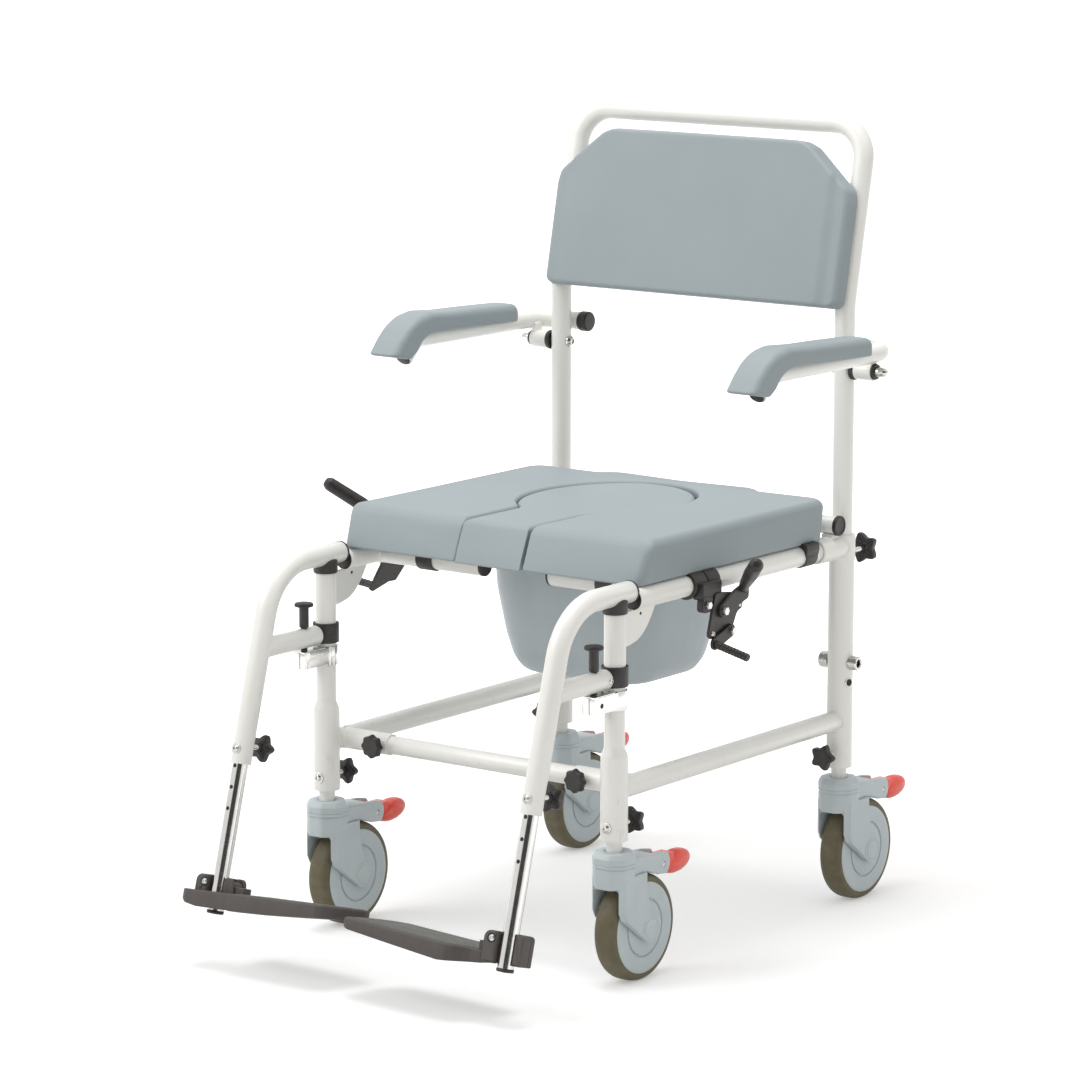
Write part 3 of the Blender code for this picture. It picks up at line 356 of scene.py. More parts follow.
def turned(profile, centre, axis, sides=48, outline=1.0, ends="faces"):
    """A lathe shape: the point at angle t and profile point (r, h) is
    centre + r * outline(t) * (cos t * side + sin t * other) + h * axis."""
    side, other, axis = directions(axis)
    profile = np.asarray(profile, float)
    angle = 2 * pi * np.arange(sides) / sides
    spoke = np.cos(angle)[:, None] * side + np.sin(angle)[:, None] * other
    reach = profile[:, :1] * np.broadcast_to(outline, sides)
    rows = np.asarray(centre) + reach[..., None] * spoke + profile[:, 1, None, None] * axis
    return shell(rows, ends)


def drawn(route, radius, up, sides=28, bore=None, ease=0.0006, flat=1.0):
    """A round bar along a route: each ring is route + r * (cos t * across + sin t * over), where across
    is the way ahead x up and over is across x the way. A bore adds the inner wall."""
    route = np.asarray(route, float)
    way = unit(np.gradient(route, axis=0))
    tuck = np.array((0.0, 0.3, 1.0))[:, None] * ease
    start = route[0] + way[0] * tuck
    stop = route[-1] - way[-1] * tuck[::-1]
    line = np.concatenate([start[:1], start, route[1:-1], stop, stop[-1:]])
    ways = np.concatenate([way[:1]] * 4 + [way[1:-1]] + [way[-1:]] * 4)
    draw_in = ease * np.array((2.6, 1.0, 0.3, 0.0))
    size = np.full(len(line), float(radius))
    size[:4] -= draw_in
    size[-4:] -= draw_in[::-1]
    across = unit(np.cross(ways, up))
    over = np.cross(across, ways)
    angle = 2 * pi * np.arange(sides) / sides
    turn = (np.cos(angle)[None, :, None] * across[:, None] + np.sin(angle)[None, :, None] * flat * over[:, None])
    rows = line[:, None] + size[:, None, None] * turn
    if bore is None:
        return shell(rows)
    inner = line[::-1][1:-1, None] + bore * turn[::-1][1:-1]
    return shell(np.concatenate([rows[1:-1], inner]), "ring")


def inset(outline, distance):
    """The outline moved inwards by a distance, along the mitre of its two edges at each point."""
    outline = np.asarray(outline, float)
    edge = np.roll(outline, -1, 0) - outline
    area = np.sum(outline[:, 0] * np.roll(outline[:, 1], -1) - outline[:, 1] * np.roll(outline[:, 0], -1))
    inward = unit(np.stack([-edge[:, 1], edge[:, 0]], -1)) * (1.0 if area > 0 else -1.0)
    before = np.roll(inward, 1, 0)
    mitre = (inward + before) / (1.0 + np.sum(inward * before, -1, keepdims=True))
    return outline + mitre * distance


side_view = (np.zeros(3), np.array(((0.0, 1.0, 0.0), (0.0, 0.0, 1.0), (1.0, 0.0, 0.0))))
top_view = (np.zeros(3), np.eye(3))
front_view = (np.zeros(3), np.array(((1.0, 0.0, 0.0), (0.0, 0.0, 1.0), (0.0, -1.0, 0.0))))


def plate(outline, low, high, place, edge=0.0008, low_edge=None, other=None):
    """A flat outline raised from low to high along the third direction of its place, with eased edges.
    Near a face the outline draws in by e (1 - cos t) as the height nears it by e (1 - sin t)."""
    outline = np.asarray(outline, float)
    top_outline = outline if other is None else np.asarray(other, float)
    low_edge = edge if low_edge is None else low_edge
    way = 1.0 if high > low else -1.0
    quarter = np.radians((0.0, 22.5, 45.0, 67.5, 90.0))
    levels = [(outline, low_edge * 1.4, low)]
    levels += [(outline, low_edge * (1 - sin(turn)), low + way * low_edge * (1 - cos(turn))) for turn in quarter]
    levels += [(top_outline, edge * (1 - sin(turn)), high - way * edge * (1 - cos(turn)))
               for turn in quarter[::-1]]
    levels += [(top_outline, edge * 1.4, high)]
    origin, axes = place
    rows = [origin + inset(flat, draw_in) @ axes[:2] + level_at * axes[2] for flat, draw_in, level_at in levels]
    return shell(rows)


def block_in_place(low, high, place, edge=0.0006):
    """The same bar between two corners given along the three directions of a place."""
    outline = rounded([(low[0], low[1]), (high[0], low[1]), (high[0], high[1]), (low[0], high[1])],
                      edge, 3, closed=True)
    return plate(outline, low[2], high[2], place, edge)


def block(low, high, edge=0.0008):
    """A bar of rectangular section with eased edges between two corners of the row frame."""
    return block_in_place(low, high, top_view, edge)


def weld_bead(centre, way, radius, leg_way, leg_radius, bead=0.0017):
    """A thin ring of weld where a tube of one radius meets a tube of another. It follows
    centre + r cos t * side + r sin t * leg_way + sqrt(R^2 - r^2 cos^2 t) * way."""
    way, leg_way = unit(way), unit(leg_way)
    side = np.cross(way, leg_way)
    angle = 2 * pi * np.arange(48)[:, None] / 48
    spoke = np.cos(angle) * side + np.sin(angle) * leg_way
    depth = np.sqrt(np.maximum(leg_radius ** 2 - (radius * np.cos(angle)) ** 2, 0.0))
    line = np.asarray(centre) + radius * spoke + depth * way
    turn = 2 * pi * np.arange(10)[None, :, None] / 10
    rows = line[:, None] + bead * (np.cos(turn) * spoke[:, None] + np.sin(turn) * way)
    return shell(rows, "ring")


def mirrored(shells, sign):
    """The same shells on the chair's right, +1, or on its left, -1."""
    return [(points * (sign, 1.0, 1.0), quads, caps) for points, quads, caps in shells]


def piece(name, shells, finish, body, *nodes, crease=38.0):
    """One named object from closed shells. It rides on its body and takes the place of its CAD nodes."""
    starts = np.cumsum([0] + [len(points) for points, _, _ in shells])
    faces = []
    for start, (_, quads, caps) in zip(starts, shells):
        faces += (quads + start).tolist() + [(cap + start).tolist() for cap in caps]
    data = bpy.data.meshes.new(name)
    data.from_pydata(np.concatenate([points for points, _, _ in shells]).tolist(), [], faces)
    mesh = bmesh.new()
    mesh.from_mesh(data)
    bmesh.ops.remove_doubles(mesh, verts=mesh.verts[:], dist=2e-7)
    bmesh.ops.recalc_face_normals(mesh, faces=mesh.faces[:])
    mesh.to_mesh(data)
    mesh.free()
    data.shade_smooth()
    data.set_sharp_from_angle(angle=radians(crease))
    data.materials.append(finish.material)
    made = bpy.data.objects.new(f"shaped_{name}" if nodes else name, data)
    bpy.context.scene.collection.objects.link(made)
    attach(made, body)
    if nodes:
        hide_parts(*nodes)
    return made


sides_of_chair = (("right", 1.0), ("left", -1.0))
frame_x = 0.210
front_y = -0.184
rear_y = 0.284
rail_z = 0.444
lower_z = 0.2295
bar_y = -0.1535
white = powder_coat()

front_leg_profile = np.concatenate([
    rounded([(0.0098, 0.1715), (0.0158, 0.1715), (0.0158, 0.2690), (0.0120, 0.2790), (0.0120, 0.3210),
             (0.0125, 0.3225), (0.0125, 0.4330), (0.0080, 0.4330), (0.0080, 0.4443), (0.0, 0.4443)],
            (0, 0.0006, 0.012, 0.010, 0.002, 0.002, 0.0006, 0, 0.0006, 0)),
    [(0.0, 0.2620), (0.0098, 0.2620)]])
rear_leg_profile = np.concatenate([
    rounded([(0.0098, 0.1715), (0.0158, 0.1715), (0.0158, 0.4262), (0.0164, 0.4268), (0.0164, 0.4580),
             (0.0128, 0.4580), (0.0128, 0.3300), (0.0, 0.3300)],
            (0, 0.0006, 0, 0.0004, 0.0008, 0.0003, 0, 0)),
    [(0.0, 0.2620), (0.0098, 0.2620)]])
gusset_outline = rounded(
    [(-0.176, 0.4325), (-0.176, 0.392), (-0.161, 0.392), (-0.143, 0.396), (-0.132, 0.4025), (-0.124, 0.410),
     (-0.116, 0.420), (-0.108, 0.4325)], (0, 0, 0.03, 0.03, 0.03, 0.03, 0.03, 0), 3, closed=True)

for side, sign in sides_of_chair:
    leg = [
        turned(front_leg_profile, (frame_x, front_y, 0), (0, 0, 1), ends="ring"),
        plate(gusset_outline, frame_x - 0.0025, frame_x + 0.0025, side_view, 0.0012),
    ]
    piece(f"front_leg_{side}", mirrored(leg, sign), white, "frame", f"front_leg_{side}")
    collar = rounded([(0.0, 0.0), (0.0152, 0.0), (0.0152, 0.059), (0.0128, 0.059), (0.0128, 0.0235), (0.0, 0.0235)],
                     (0, 0, 0.0008, 0.0004, 0, 0))
    leg = [
        turned(rear_leg_profile, (frame_x, rear_y, 0), (0, 0, 1), ends="ring"),
        turned(collar, (frame_x, rear_y, rail_z), (0, -1, 0), ends="ring"),
        weld_bead((frame_x, rear_y, rail_z), (0, -1, 0), 0.0152, (0, 0, 1), 0.0164),
        block((frame_x - 0.008, 0.2510, 0.4560), (frame_x + 0.008, 0.2670, 0.4620), 0.0010),
    ]
    piece(f"rear_leg_{side}", mirrored(leg, sign), white, "frame", f"rear_leg_{side}")
    rail = [
        drawn([(frame_x, -0.150, rail_z), (frame_x, 0.2597, rail_z)], 0.0125, (0, 0, 1)),
        drawn([(frame_x - 0.006, -0.085, rail_z), (0.0495, -0.085, rail_z)], 0.0122, (0, 0, 1)),
        weld_bead((frame_x, -0.085, rail_z), (-1, 0, 0), 0.0122, (0, 1, 0), 0.0125),
    ]
    piece(f"seat_rail_{side}", mirrored(rail, sign), white, "frame", f"seat_rail_{side}")
    sleeve = rounded([(0.0115, 0.0060), (0.0127, 0.0060), (0.0127, 0.0750), (0.0113, 0.0750)],
                     (0, 0, 0.0005, 0.0003))
    rail = [
        drawn([(frame_x, -0.1744, lower_z), (frame_x, 0.2742, lower_z)], 0.0125, (0, 0, 1)),
        turned(sleeve, (frame_x, bar_y, lower_z), (-1, 0, 0), ends="ring"),
        weld_bead((frame_x, bar_y, lower_z), (-1, 0, 0), 0.0124, (0, 1, 0), 0.0125),
        weld_bead((frame_x, front_y, lower_z), (0, 1, 0), 0.0125, (0, 0, 1), 0.0158),
        weld_bead((frame_x, rear_y, lower_z), (0, -1, 0), 0.0125, (0, 0, 1), 0.0158),
    ]
    piece(f"lower_rail_{side}", mirrored(rail, sign), white, "frame", f"lower_rail_{side}")

cross_bar = drawn([(-0.1897, bar_y, lower_z), (0.1897, bar_y, lower_z)], 0.011, (0, 0, 1))
piece("front_cross_bar", [cross_bar], white, "frame", "front_cross_bar")
cross_tube = drawn([(-0.2215, 0.259, 0.4723), (0.2215, 0.259, 0.4723)], 0.011, (0, 0, 1))
piece("rear_cross_tube", [cross_tube], white, "frame", "rear_cross_tube")


# Plugs, clips and small metal of the frame. Black nylon plugs close the tube ends, black clips hold the
# seat, and zinc bolts, rivets and the two removable-wheel sockets are pressed or screwed into the legs.

def black_nylon():
    """Moulded black nylon: slightly warm, satin, with a fine spark-eroded grain and soft cloudiness."""
    nylon = Finish("black_nylon", "black", (40, 37, 35), 0.46)
    cloud = nylon.noise(70.0, 3.0)
    nylon.tint(nylon.blend(cloud.between(0.40, 0.75), linear(36, 33, 32), linear(56, 51, 47)))
    nylon.gloss(0.40 + cloud * 0.16)
    nylon.relief(nylon.noise(1500.0, 2.0), 0.00010, 0.30)
    return nylon


def zinc():
    """Bright zinc plate with fine turning marks and a slightly uneven sheen."""
    plating = Finish("zinc_plate", "chrome", (205, 203, 198), 0.26, metallic=1.0)
    cloud = plating.noise(260.0, 3.0)
    plating.tint(plating.blend(cloud, linear(188, 186, 180), linear(218, 216, 212)))
    plating.gloss(0.20 + cloud * 0.16)
    plating.relief(plating.noise(2200.0, 2.0), 0.00006, 0.25)
    return plating


# Painted shade for holes: a dark colour on thin discs, put where a hole would only be dark from shade.
def painted_hole_shade():
    """Painted shade: the dark colour of discs that stand in for the shade inside a hole."""
    bore = Finish("painted_hole_shade", "black", (24, 22, 21), 0.70)
    bore.tint(bore.blend(bore.noise(900.0), linear(20, 18, 17), linear(34, 31, 29)))
    return bore


black = black_nylon()
plated = zinc()
hole_shade_paint = painted_hole_shade()


def button_head(centre, axis, radius, height):
    """A domed screw head with a round socket in it."""
    profile = rounded([(0, -0.0004), (radius, -0.0004), (radius, height * 0.35), (radius * 0.62, height),
                       (radius * 0.46, height), (radius * 0.42, height * 0.5), (0, height * 0.5)],
                      (0, 0, radius * 0.4, radius * 0.1, 0, 0, 0), 4)
    return turned(profile, centre, axis, 32)


def hex_head(centre, axis, across, height):
    """A hexagon of the given width across its flats with a turned chamfer."""
    corner = across / 2 / cos(pi / 6)
    profile = [(0, -0.0004), (corner, -0.0004), (corner, height * 0.72), (corner * 0.88, height), (0, height)]
    return turned(profile, centre, axis, 6)


for side, sign in sides_of_chair:
    plugs = [
        turned(rounded([(0, -0.0005), (0.0118, -0.0005), (0.0124, 0.0010), (0, 0.0010)], (0, 0.0004, 0.0010, 0)),
               (frame_x, -0.150, rail_z), (0, -1, 0)),
        turned(rounded([(0, -0.001), (0.0124, -0.001), (0.0124, 0.0022), (0, 0.0028)], (0, 0, 0.0010, 0)),
               (0.0497, -0.085, rail_z), (-1, 0, 0)),
        turned(rounded([(0, -0.0010), (0.0122, -0.0010), (0.0122, 0.0030), (0.0098, 0.0036), (0.0094, 0.0026),
                        (0, 0.0024)], (0, 0, 0.0008, 0.0004, 0.0002, 0)),
               (0.2205, 0.259, 0.4723), (1, 0, 0)),
    ]
    piece(f"rail_plugs_{side}", mirrored(plugs, sign), black, "frame")

    clip = rounded([(-0.0135, 0.0), (-0.0150, 0.0080), (-0.0145, 0.0150), (-0.0060, 0.0165), (0.0060, 0.0165),
                    (0.0145, 0.0150), (0.0150, 0.0080), (0.0135, 0.0)], 0.003, 4, closed=True)
    ring = rounded([(0.0125, -0.0120), (0.0140, -0.0120), (0.0140, 0.0120), (0.0125, 0.0120)], 0.0008, 3, closed=True)
    stub_clip_x = 0.131
    rail_clip_y = 0.199
    across_x = (np.array((0.0, -0.085, rail_z)), np.array(((0.0, 1.0, 0.0), (0.0, 0.0, 1.0), (1.0, 0.0, 0.0))))
    across_y = (np.array((frame_x, 0.0, rail_z)), np.array(((1.0, 0.0, 0.0), (0.0, 0.0, 1.0), (0.0, 1.0, 0.0))))
    clips = [
        turned(ring, (stub_clip_x, -0.085, rail_z), (1, 0, 0), ends="ring"),
        plate(clip, stub_clip_x - 0.0105, stub_clip_x + 0.0105, across_x, 0.0008),
        turned(ring, (frame_x, rail_clip_y, rail_z), (0, 1, 0), ends="ring"),
        plate(clip, rail_clip_y - 0.0135, rail_clip_y + 0.0135, across_y, 0.0008),
    ]
    piece(f"seat_clips_{side}", mirrored(clips, sign), black, "frame")

    outer_y = front_y - 0.0158
    washer = rounded([(0, -0.0010), (0.0068, -0.0010), (0.0068, 0.0006), (0, 0.0006)], (0, 0, 0.0004, 0))
    metal = [
        turned(washer, (frame_x, outer_y, 0.1880), (0, -1, 0)),
        button_head((frame_x, outer_y - 0.0006, 0.1880), (0, -1, 0), 0.0048, 0.0026),
        button_head((frame_x, front_y + 0.0122, 0.3850), (0, 1, 0), 0.0044, 0.0028),
        button_head((frame_x, front_y + 0.0122, 0.3370), (0, 1, 0), 0.0044, 0.0028),
        button_head((frame_x, rear_y + 0.0156, 0.1887), (0, 1, 0), 0.0048, 0.0026),
    ]
    piece(f"leg_bolts_{side}", mirrored(metal, sign), plated, "frame")

    socket = rounded([(0.0046, 0.0), (0.0087, 0.0), (0.0087, 0.0105), (0.0076, 0.0118), (0.0058, 0.0118),
                      (0.0046, 0.0106)], (0, 0, 0.0006, 0.0004, 0.0004, 0))
    nut = rounded([(0, -0.002), (0.0104, -0.002), (0.0104, 0.0035), (0.0096, 0.0044), (0.0100, 0.0060),
                   (0.0100, 0.0105), (0.0070, 0.0115), (0.0066, 0.0104), (0, 0.0104)],
                  (0, 0, 0.0006, 0.0004, 0.0006, 0.0008, 0.0004, 0, 0))
    rim = rounded([(0.0042, -0.0010), (0.0060, -0.0010), (0.0060, 0.0004), (0.0050, 0.0008), (0.0042, 0.0004)],
                  0.0003, 3, closed=True)
    axle = [
        turned(socket, (frame_x + 0.0150, rear_y, 0.3014), (1, 0, 0), 40, ends="ring"),
        turned(nut, (frame_x - 0.0155, rear_y, 0.3014), (-1, 0, 0), 40),
        turned(rim, (frame_x + 0.0152, 0.2800, 0.2777), (1, -0.28, 0), 32, ends="ring"),
    ]
    piece(f"axle_socket_{side}", mirrored(axle, sign), plated, "frame")
    # Dark discs of painted shade stand in for the shade inside the wheel socket's bore, the ringed hole below it and a
    # small hole in the gusset plate.
    shade = [
        turned([(0, 0), (0.0046, 0), (0.0046, 0.0022), (0, 0.0022)], (frame_x + 0.0150, rear_y, 0.3014), (1, 0, 0)),
        turned([(0, 0), (0.0044, 0), (0.0044, 0.0014), (0, 0.0014)], (frame_x + 0.0143, 0.2803, 0.2777), (1, -0.28, 0)),
        turned([(0, 0), (0.0019, 0), (0.0019, 0.0052), (0, 0.0052)], (frame_x - 0.0026, -0.1380, 0.4265), (1, 0, 0), 20),
    ]
    piece(f"leg_hole_shade_{side}", mirrored(shade, sign), hole_shade_paint, "frame")


# Star knobs. Moulded black knobs with five blunt points on zinc studs clamp the leg extensions, the back
# uprights and the footrest tubes; two flat fluted knobs clamp the front cross bar.

def star(points, depth, sides):
    """Radius factor round a knob: 1 at each point, less 'depth' in each valley, as
    1 - depth * ((1 - cos(points * t)) / 2) ^ 0.75."""
    angle = 2 * pi * np.arange(sides) / sides
    return 1.0 - depth * ((1 - np.cos(points * angle)) / 2) ** 0.75


def star_knob(stud_tip, axis, stud, radius, thick, points=5, depth=0.30):
    """The knob and its stud, as two lists of shells; the stud starts at its tip and points outwards."""
    tip = np.asarray(stud_tip, float)
    way = unit(axis)
    body = rounded([(0, 0), (radius * 0.42, 0), (radius * 0.50, thick * 0.10), (radius * 0.97, thick * 0.16),
                    (radius, thick * 0.30), (radius * 0.97, thick * 0.86), (radius * 0.80, thick),
                    (radius * 0.34, thick * 0.94), (0, thick * 0.92)],
                   (0, 0, thick * 0.1, thick * 0.2, thick * 0.2, thick * 0.25, thick * 0.3, thick * 0.2, 0), 4)
    knob = [turned(body, tip + way * stud, way, 80, star(points, depth, 80))]
    boss = rounded([(0, 0), (0.0058, 0), (0.0062, 0.006), (0, 0.006)], (0, 0.0006, 0.0006, 0))
    knob.append(turned(boss, tip + way * (stud - 0.003), way, 32))
    thread = [(0, 0.0)] + [(0.0030 if index % 2 else 0.0026, 0.0008 * index) for index in range(int(stud / 0.0008))]
    thread.append((0, 0.0008 * int(stud / 0.0008)))
    return knob, [turned(thread, tip, way, 24)]


for side, sign in sides_of_chair:
    for place, tip, way in (("front", (frame_x, front_y + 0.0160, 0.1876), (0, 1, 0)),
                            ("rear", (frame_x, rear_y - 0.0160, 0.1887), (0, -1, 0))):
        knob, stud = star_knob(tip, way, 0.0145, 0.0165, 0.0115)
        piece(f"leg_knob_{place}_{side}", mirrored(knob, sign), black, "frame")
        piece(f"leg_knob_stud_{place}_{side}", mirrored(stud, sign), plated, "frame")

    knob, stud = star_knob((frame_x, 0.3008, 0.434), (0, 1, 0), 0.0265, 0.0195, 0.0125)
    piece(f"back_knob_{side}", mirrored(knob, sign), black, f"upright_knob_{side}", f"back_knob_{side}")
    piece(f"back_knob_stud_{side}", mirrored(stud, sign), plated, f"upright_knob_{side}")

    knob, stud = star_knob((frame_x, -0.32366, 0.24806), (0, 0.9622, -0.2723), 0.0150, 0.0170, 0.0125)
    piece(f"hanger_knob_{side}", mirrored(knob, sign), black, f"footrest_knob_{side}", f"hanger_knob_{side}")
    piece(f"hanger_knob_stud_{side}", mirrored(stud, sign), plated, f"footrest_knob_{side}")

    knob, stud = star_knob((0.1485, -0.1665, lower_z), (0, -1, 0), 0.0040, 0.0146, 0.0090, points=8, depth=0.13)
    piece(f"cross_bar_knob_{side}", mirrored(knob, sign), black, f"bar_knob_{side}", f"cross_bar_knob_{side}")
    piece(f"cross_bar_stud_{side}", mirrored(stud, sign), plated, f"bar_knob_{side}")


# Casters. A steel extension tube slides in each leg; on its foot turns a moulded grey fork with an eight-sided
# collar. The wheel is a grey disc in an olive rubber tyre, and a coral pedal on the fork's arm locks it.

def caster_nylon():
    """Moulded blue-grey nylon with a faint matt grain and soft cloudiness."""
    nylon = Finish("caster_nylon", "caster_plastic", (198, 208, 211), 0.44)
    cloud = nylon.noise(45.0, 3.0)
    nylon.tint(nylon.blend(cloud.between(0.35, 0.70), linear(195, 205, 208), linear(201, 210, 213)))
    nylon.gloss(0.38 + cloud * 0.12)
    nylon.relief(nylon.noise(1300.0, 2.0), 0.00008, 0.25)
    return nylon


def tyre_rubber():
    """Olive-brown rubber, paler towards the bottom of the wheel, with fine dust in its grain."""
    rubber = Finish("tyre_rubber", "tyre", (108, 101, 78), 0.62)
    grain = rubber.noise(900.0, 3.0)
    dust = rubber.noise(60.0, 4.0).between(0.45, 0.75)
    # The lower part of the tyre is blended paler by height, on top of the dust.
    low_down = 1.0 - rubber.height("Z").between(0.0, 0.05)
    worn = dust * 0.5 + low_down * 0.25
    rubber.tint(rubber.blend(worn, linear(100, 93, 70), linear(126, 118, 94)))
    rubber.gloss(0.52 + grain * 0.18)
    rubber.relief(grain, 0.00010, 0.35)
    return rubber


def pedal_red():
    """Coral-red moulded plastic, glossy, a little scuffed."""
    red = Finish("pedal_red", "pedal", (248, 96, 82), 0.34)
    rubbed = red.noise(140.0, 4.0).between(0.50, 0.80)
    red.tint(red.blend(rubbed, linear(249, 92, 78), linear(244, 120, 104)))
    red.gloss(0.28 + rubbed * 0.22)
    red.relief(red.noise(1300.0, 2.0), 0.00006, 0.25)
    return red


grey_nylon = caster_nylon()
rubber_olive = tyre_rubber()
coral = pedal_red()
hub_y = 0.040
wheel_radius = 0.0625


pedal_pivot = (0.0735, 0.1308)


def eight_sided(sides, corner=1.050):
    """Radius factor of an octagon with blunted corners: 1 / cos of the angle from the nearest flat."""
    angle = 2 * pi * np.arange(sides) / sides
    from_flat = (angle + pi / 8) % (pi / 4) - pi / 8
    return np.minimum(1 / np.cos(from_flat), corner)


def arc_points(centre, radius, start, stop, steps):
    """Points on an arc between two angles in degrees."""
    angle = np.radians(np.linspace(start, stop, steps + 1))
    return np.stack([centre[0] + radius * np.cos(angle), centre[1] + radius * np.sin(angle)], -1)


def fork_shells():
    """The fork round a swivel axis at the origin: housing and collar, two cheeks, arch, arm and ears."""
    housing = rounded(
        [(0, 0.1172), (0.0222, 0.1172), (0.0236, 0.1190), (0.0236, 0.1398), (0.0228, 0.1403), (0.0228, 0.1413),
         (0.0239, 0.1419), (0.0239, 0.1446), (0.0232, 0.1452), (0.0239, 0.1458), (0.0239, 0.1528),
         (0.0206, 0.1588), (0.0128, 0.1590), (0.0110, 0.1580), (0.0099, 0.1580), (0.0099, 0.1353), (0, 0.1353)],
        (0, 0, 0.0008, 0.0005, 0, 0, 0.0006, 0.0005, 0, 0.0005, 0.0010, 0.0020, 0.0005, 0, 0.0003, 0, 0), 3)
    made = [turned(housing, (0, 0, 0), (0, 0, 1), 64, eight_sided(64))]
    rest = [(0.0280, 0.0525)] + arc_points((hub_y, 0.0625), 0.0145, -125, 25, 10).tolist()
    rest += [(0.0445, 0.0790), (0.0370, 0.0955), (0.0330, 0.1140), (0.0330, 0.1300)]
    outer = [(-0.0098, 0.1300), (-0.0098, 0.0885), (-0.0052, 0.0792)] + rest
    inner = [(-0.0156, 0.1300), (-0.0156, 0.0905), (-0.0108, 0.0808)] + rest
    ease = (0.0, 0.004, 0.006) + (0.0,) * 12 + (0.010, 0.02, 0.02, 0.0)
    outer = rounded(outer, ease, 3, closed=True)
    inner = rounded(inner, ease, 3, closed=True)
    made.append(plate(inner, 0.0178, 0.0240, side_view, 0.0014, 0.0005, other=outer))
    made.append(plate(inner, -0.0178, -0.0240, side_view, 0.0014, 0.0005, other=outer))
    for sign in (1.0, -1.0):
        boss = rounded([(0, -0.0010), (0.0158, -0.0010), (0.0154, 0.0007), (0.0136, 0.0007), (0.0130, 0.0001),
                        (0.0120, 0.0001), (0.0112, 0.0012), (0, 0.0017)],
                       (0, 0, 0.0006, 0.0004, 0.0002, 0.0002, 0.0010, 0), 3)
        made.append(turned(boss, (sign * 0.0240, hub_y, 0.0625), (sign, 0, 0), 48))
    centre = [(0.0, 0.1490), (0.0, 0.1290), (0.0320, 0.1290), (0.0420, 0.1280), (0.0580, 0.1224), (0.0580, 0.1462),
              (0.0300, 0.1485)]
    made.append(tapered(plate(rounded(centre, (0, 0, 0.01, 0.01, 0, 0, 0.02), 4, closed=True),
                              -0.0215, 0.0215, side_view, 0.0035)))
    ear = [(0.0520, 0.1246), (0.0660, 0.1200)] + arc_points(pedal_pivot, 0.0175, -50, 42, 8).tolist()
    ear += [(0.0720, 0.1452), (0.0520, 0.1466)]
    ear = rounded(ear, (0, 0.008) + (0,) * 9 + (0.01, 0), 3, closed=True)
    fillet = np.concatenate([[(0.0184, 0.1195), (0.0184, 0.1095), (0.0176, 0.1095)],
                             arc_points((0.0096, 0.1095), 0.0080, 0, 90, 8), [(0.0096, 0.1195)]])
    fillet_place = (np.zeros(3), np.array(((1.0, 0, 0), (0, 0, 1.0), (0, 1.0, 0))))
    for sign in (1.0, -1.0):
        made.append(tapered(plate(ear, sign * 0.0135, sign * 0.0215, side_view, 0.0030, 0.0006)))
        made += mirrored([plate(fillet, -0.0140, 0.0190, fillet_place, 0.0003)], sign)
    return made


def tapered(part):
    """Narrows the arm towards its end: x is multiplied by 1 less a third of the way from y 0.010 to 0.085."""
    points, quads, caps = part
    share = np.clip((points[:, 1] - 0.010) / 0.075, 0.0, 1.0)
    return points * np.stack([1 - 0.30 * share, np.ones_like(share), np.ones_like(share)], -1), quads, caps


def pillowed(outline, middle, half):
    """A rounded paddle: at sideways distance x the outline is scaled about its middle by
    (1 - |x / half| ^ 2.6) ^ (1 / 2.6)."""
    share = np.sin(np.radians(np.linspace(-89.5, 89.5, 21)))
    scale = (1 - np.abs(share) ** 2.6) ** (1 / 2.6)
    flat = np.asarray(middle) + scale[:, None, None] * (np.asarray(outline)[None] - middle)
    across = np.broadcast_to((half * share)[:, None, None], (*flat.shape[:2], 1))
    return shell(np.concatenate([across, flat], axis=2))


def moved(shells, by):
    return [(points + np.asarray(by), quads, caps) for points, quads, caps in shells]


tyre_profile = rounded(
    [(0.0500, -0.0120), (0.0536, -0.0146), (0.0596, -0.0136), (0.0625, -0.0078), (0.0625, 0.0078),
     (0.0596, 0.0136), (0.0536, 0.0146), (0.0500, 0.0120)], (0, 0.002, 0.008, 0.012, 0.012, 0.008, 0.002, 0), 6, closed=True)
half_disc = [(0.0, 0.0168), (0.0125, 0.0168), (0.0132, 0.0156), (0.0316, 0.0156), (0.0320, 0.0134), (0.0338, 0.0134),
             (0.0346, 0.0156), (0.0500, 0.0153), (0.0532, 0.0148), (0.0536, 0.0120)]
disc_profile = rounded(half_disc + [(r, -x) for r, x in half_disc[::-1]],
                       [0, 0.0006, 0.0004, 0.0003, 0, 0, 0.0003, 0.002, 0.0012, 0]
                       + [0, 0.0012, 0.002, 0.0003, 0, 0, 0.0003, 0.0004, 0.0006, 0], 3)
pedal_corners = [(0.0890, 0.1200), (0.0960, 0.1135), (0.1080, 0.1108), (0.1230, 0.1120), (0.1370, 0.1170),
                 (0.1440, 0.1250), (0.1415, 0.1325), (0.1330, 0.1368), (0.1210, 0.1372), (0.1080, 0.1335),
                 (0.0970, 0.1285), (0.0900, 0.1240)]
pedal_outline = rounded(pedal_corners, 0.020, 4, closed=True)
tongue_outline = np.concatenate([arc_points(pedal_pivot, 0.0085, 100, 250, 8),
                                  [(0.1060, 0.1190), (0.1060, 0.1380)]])

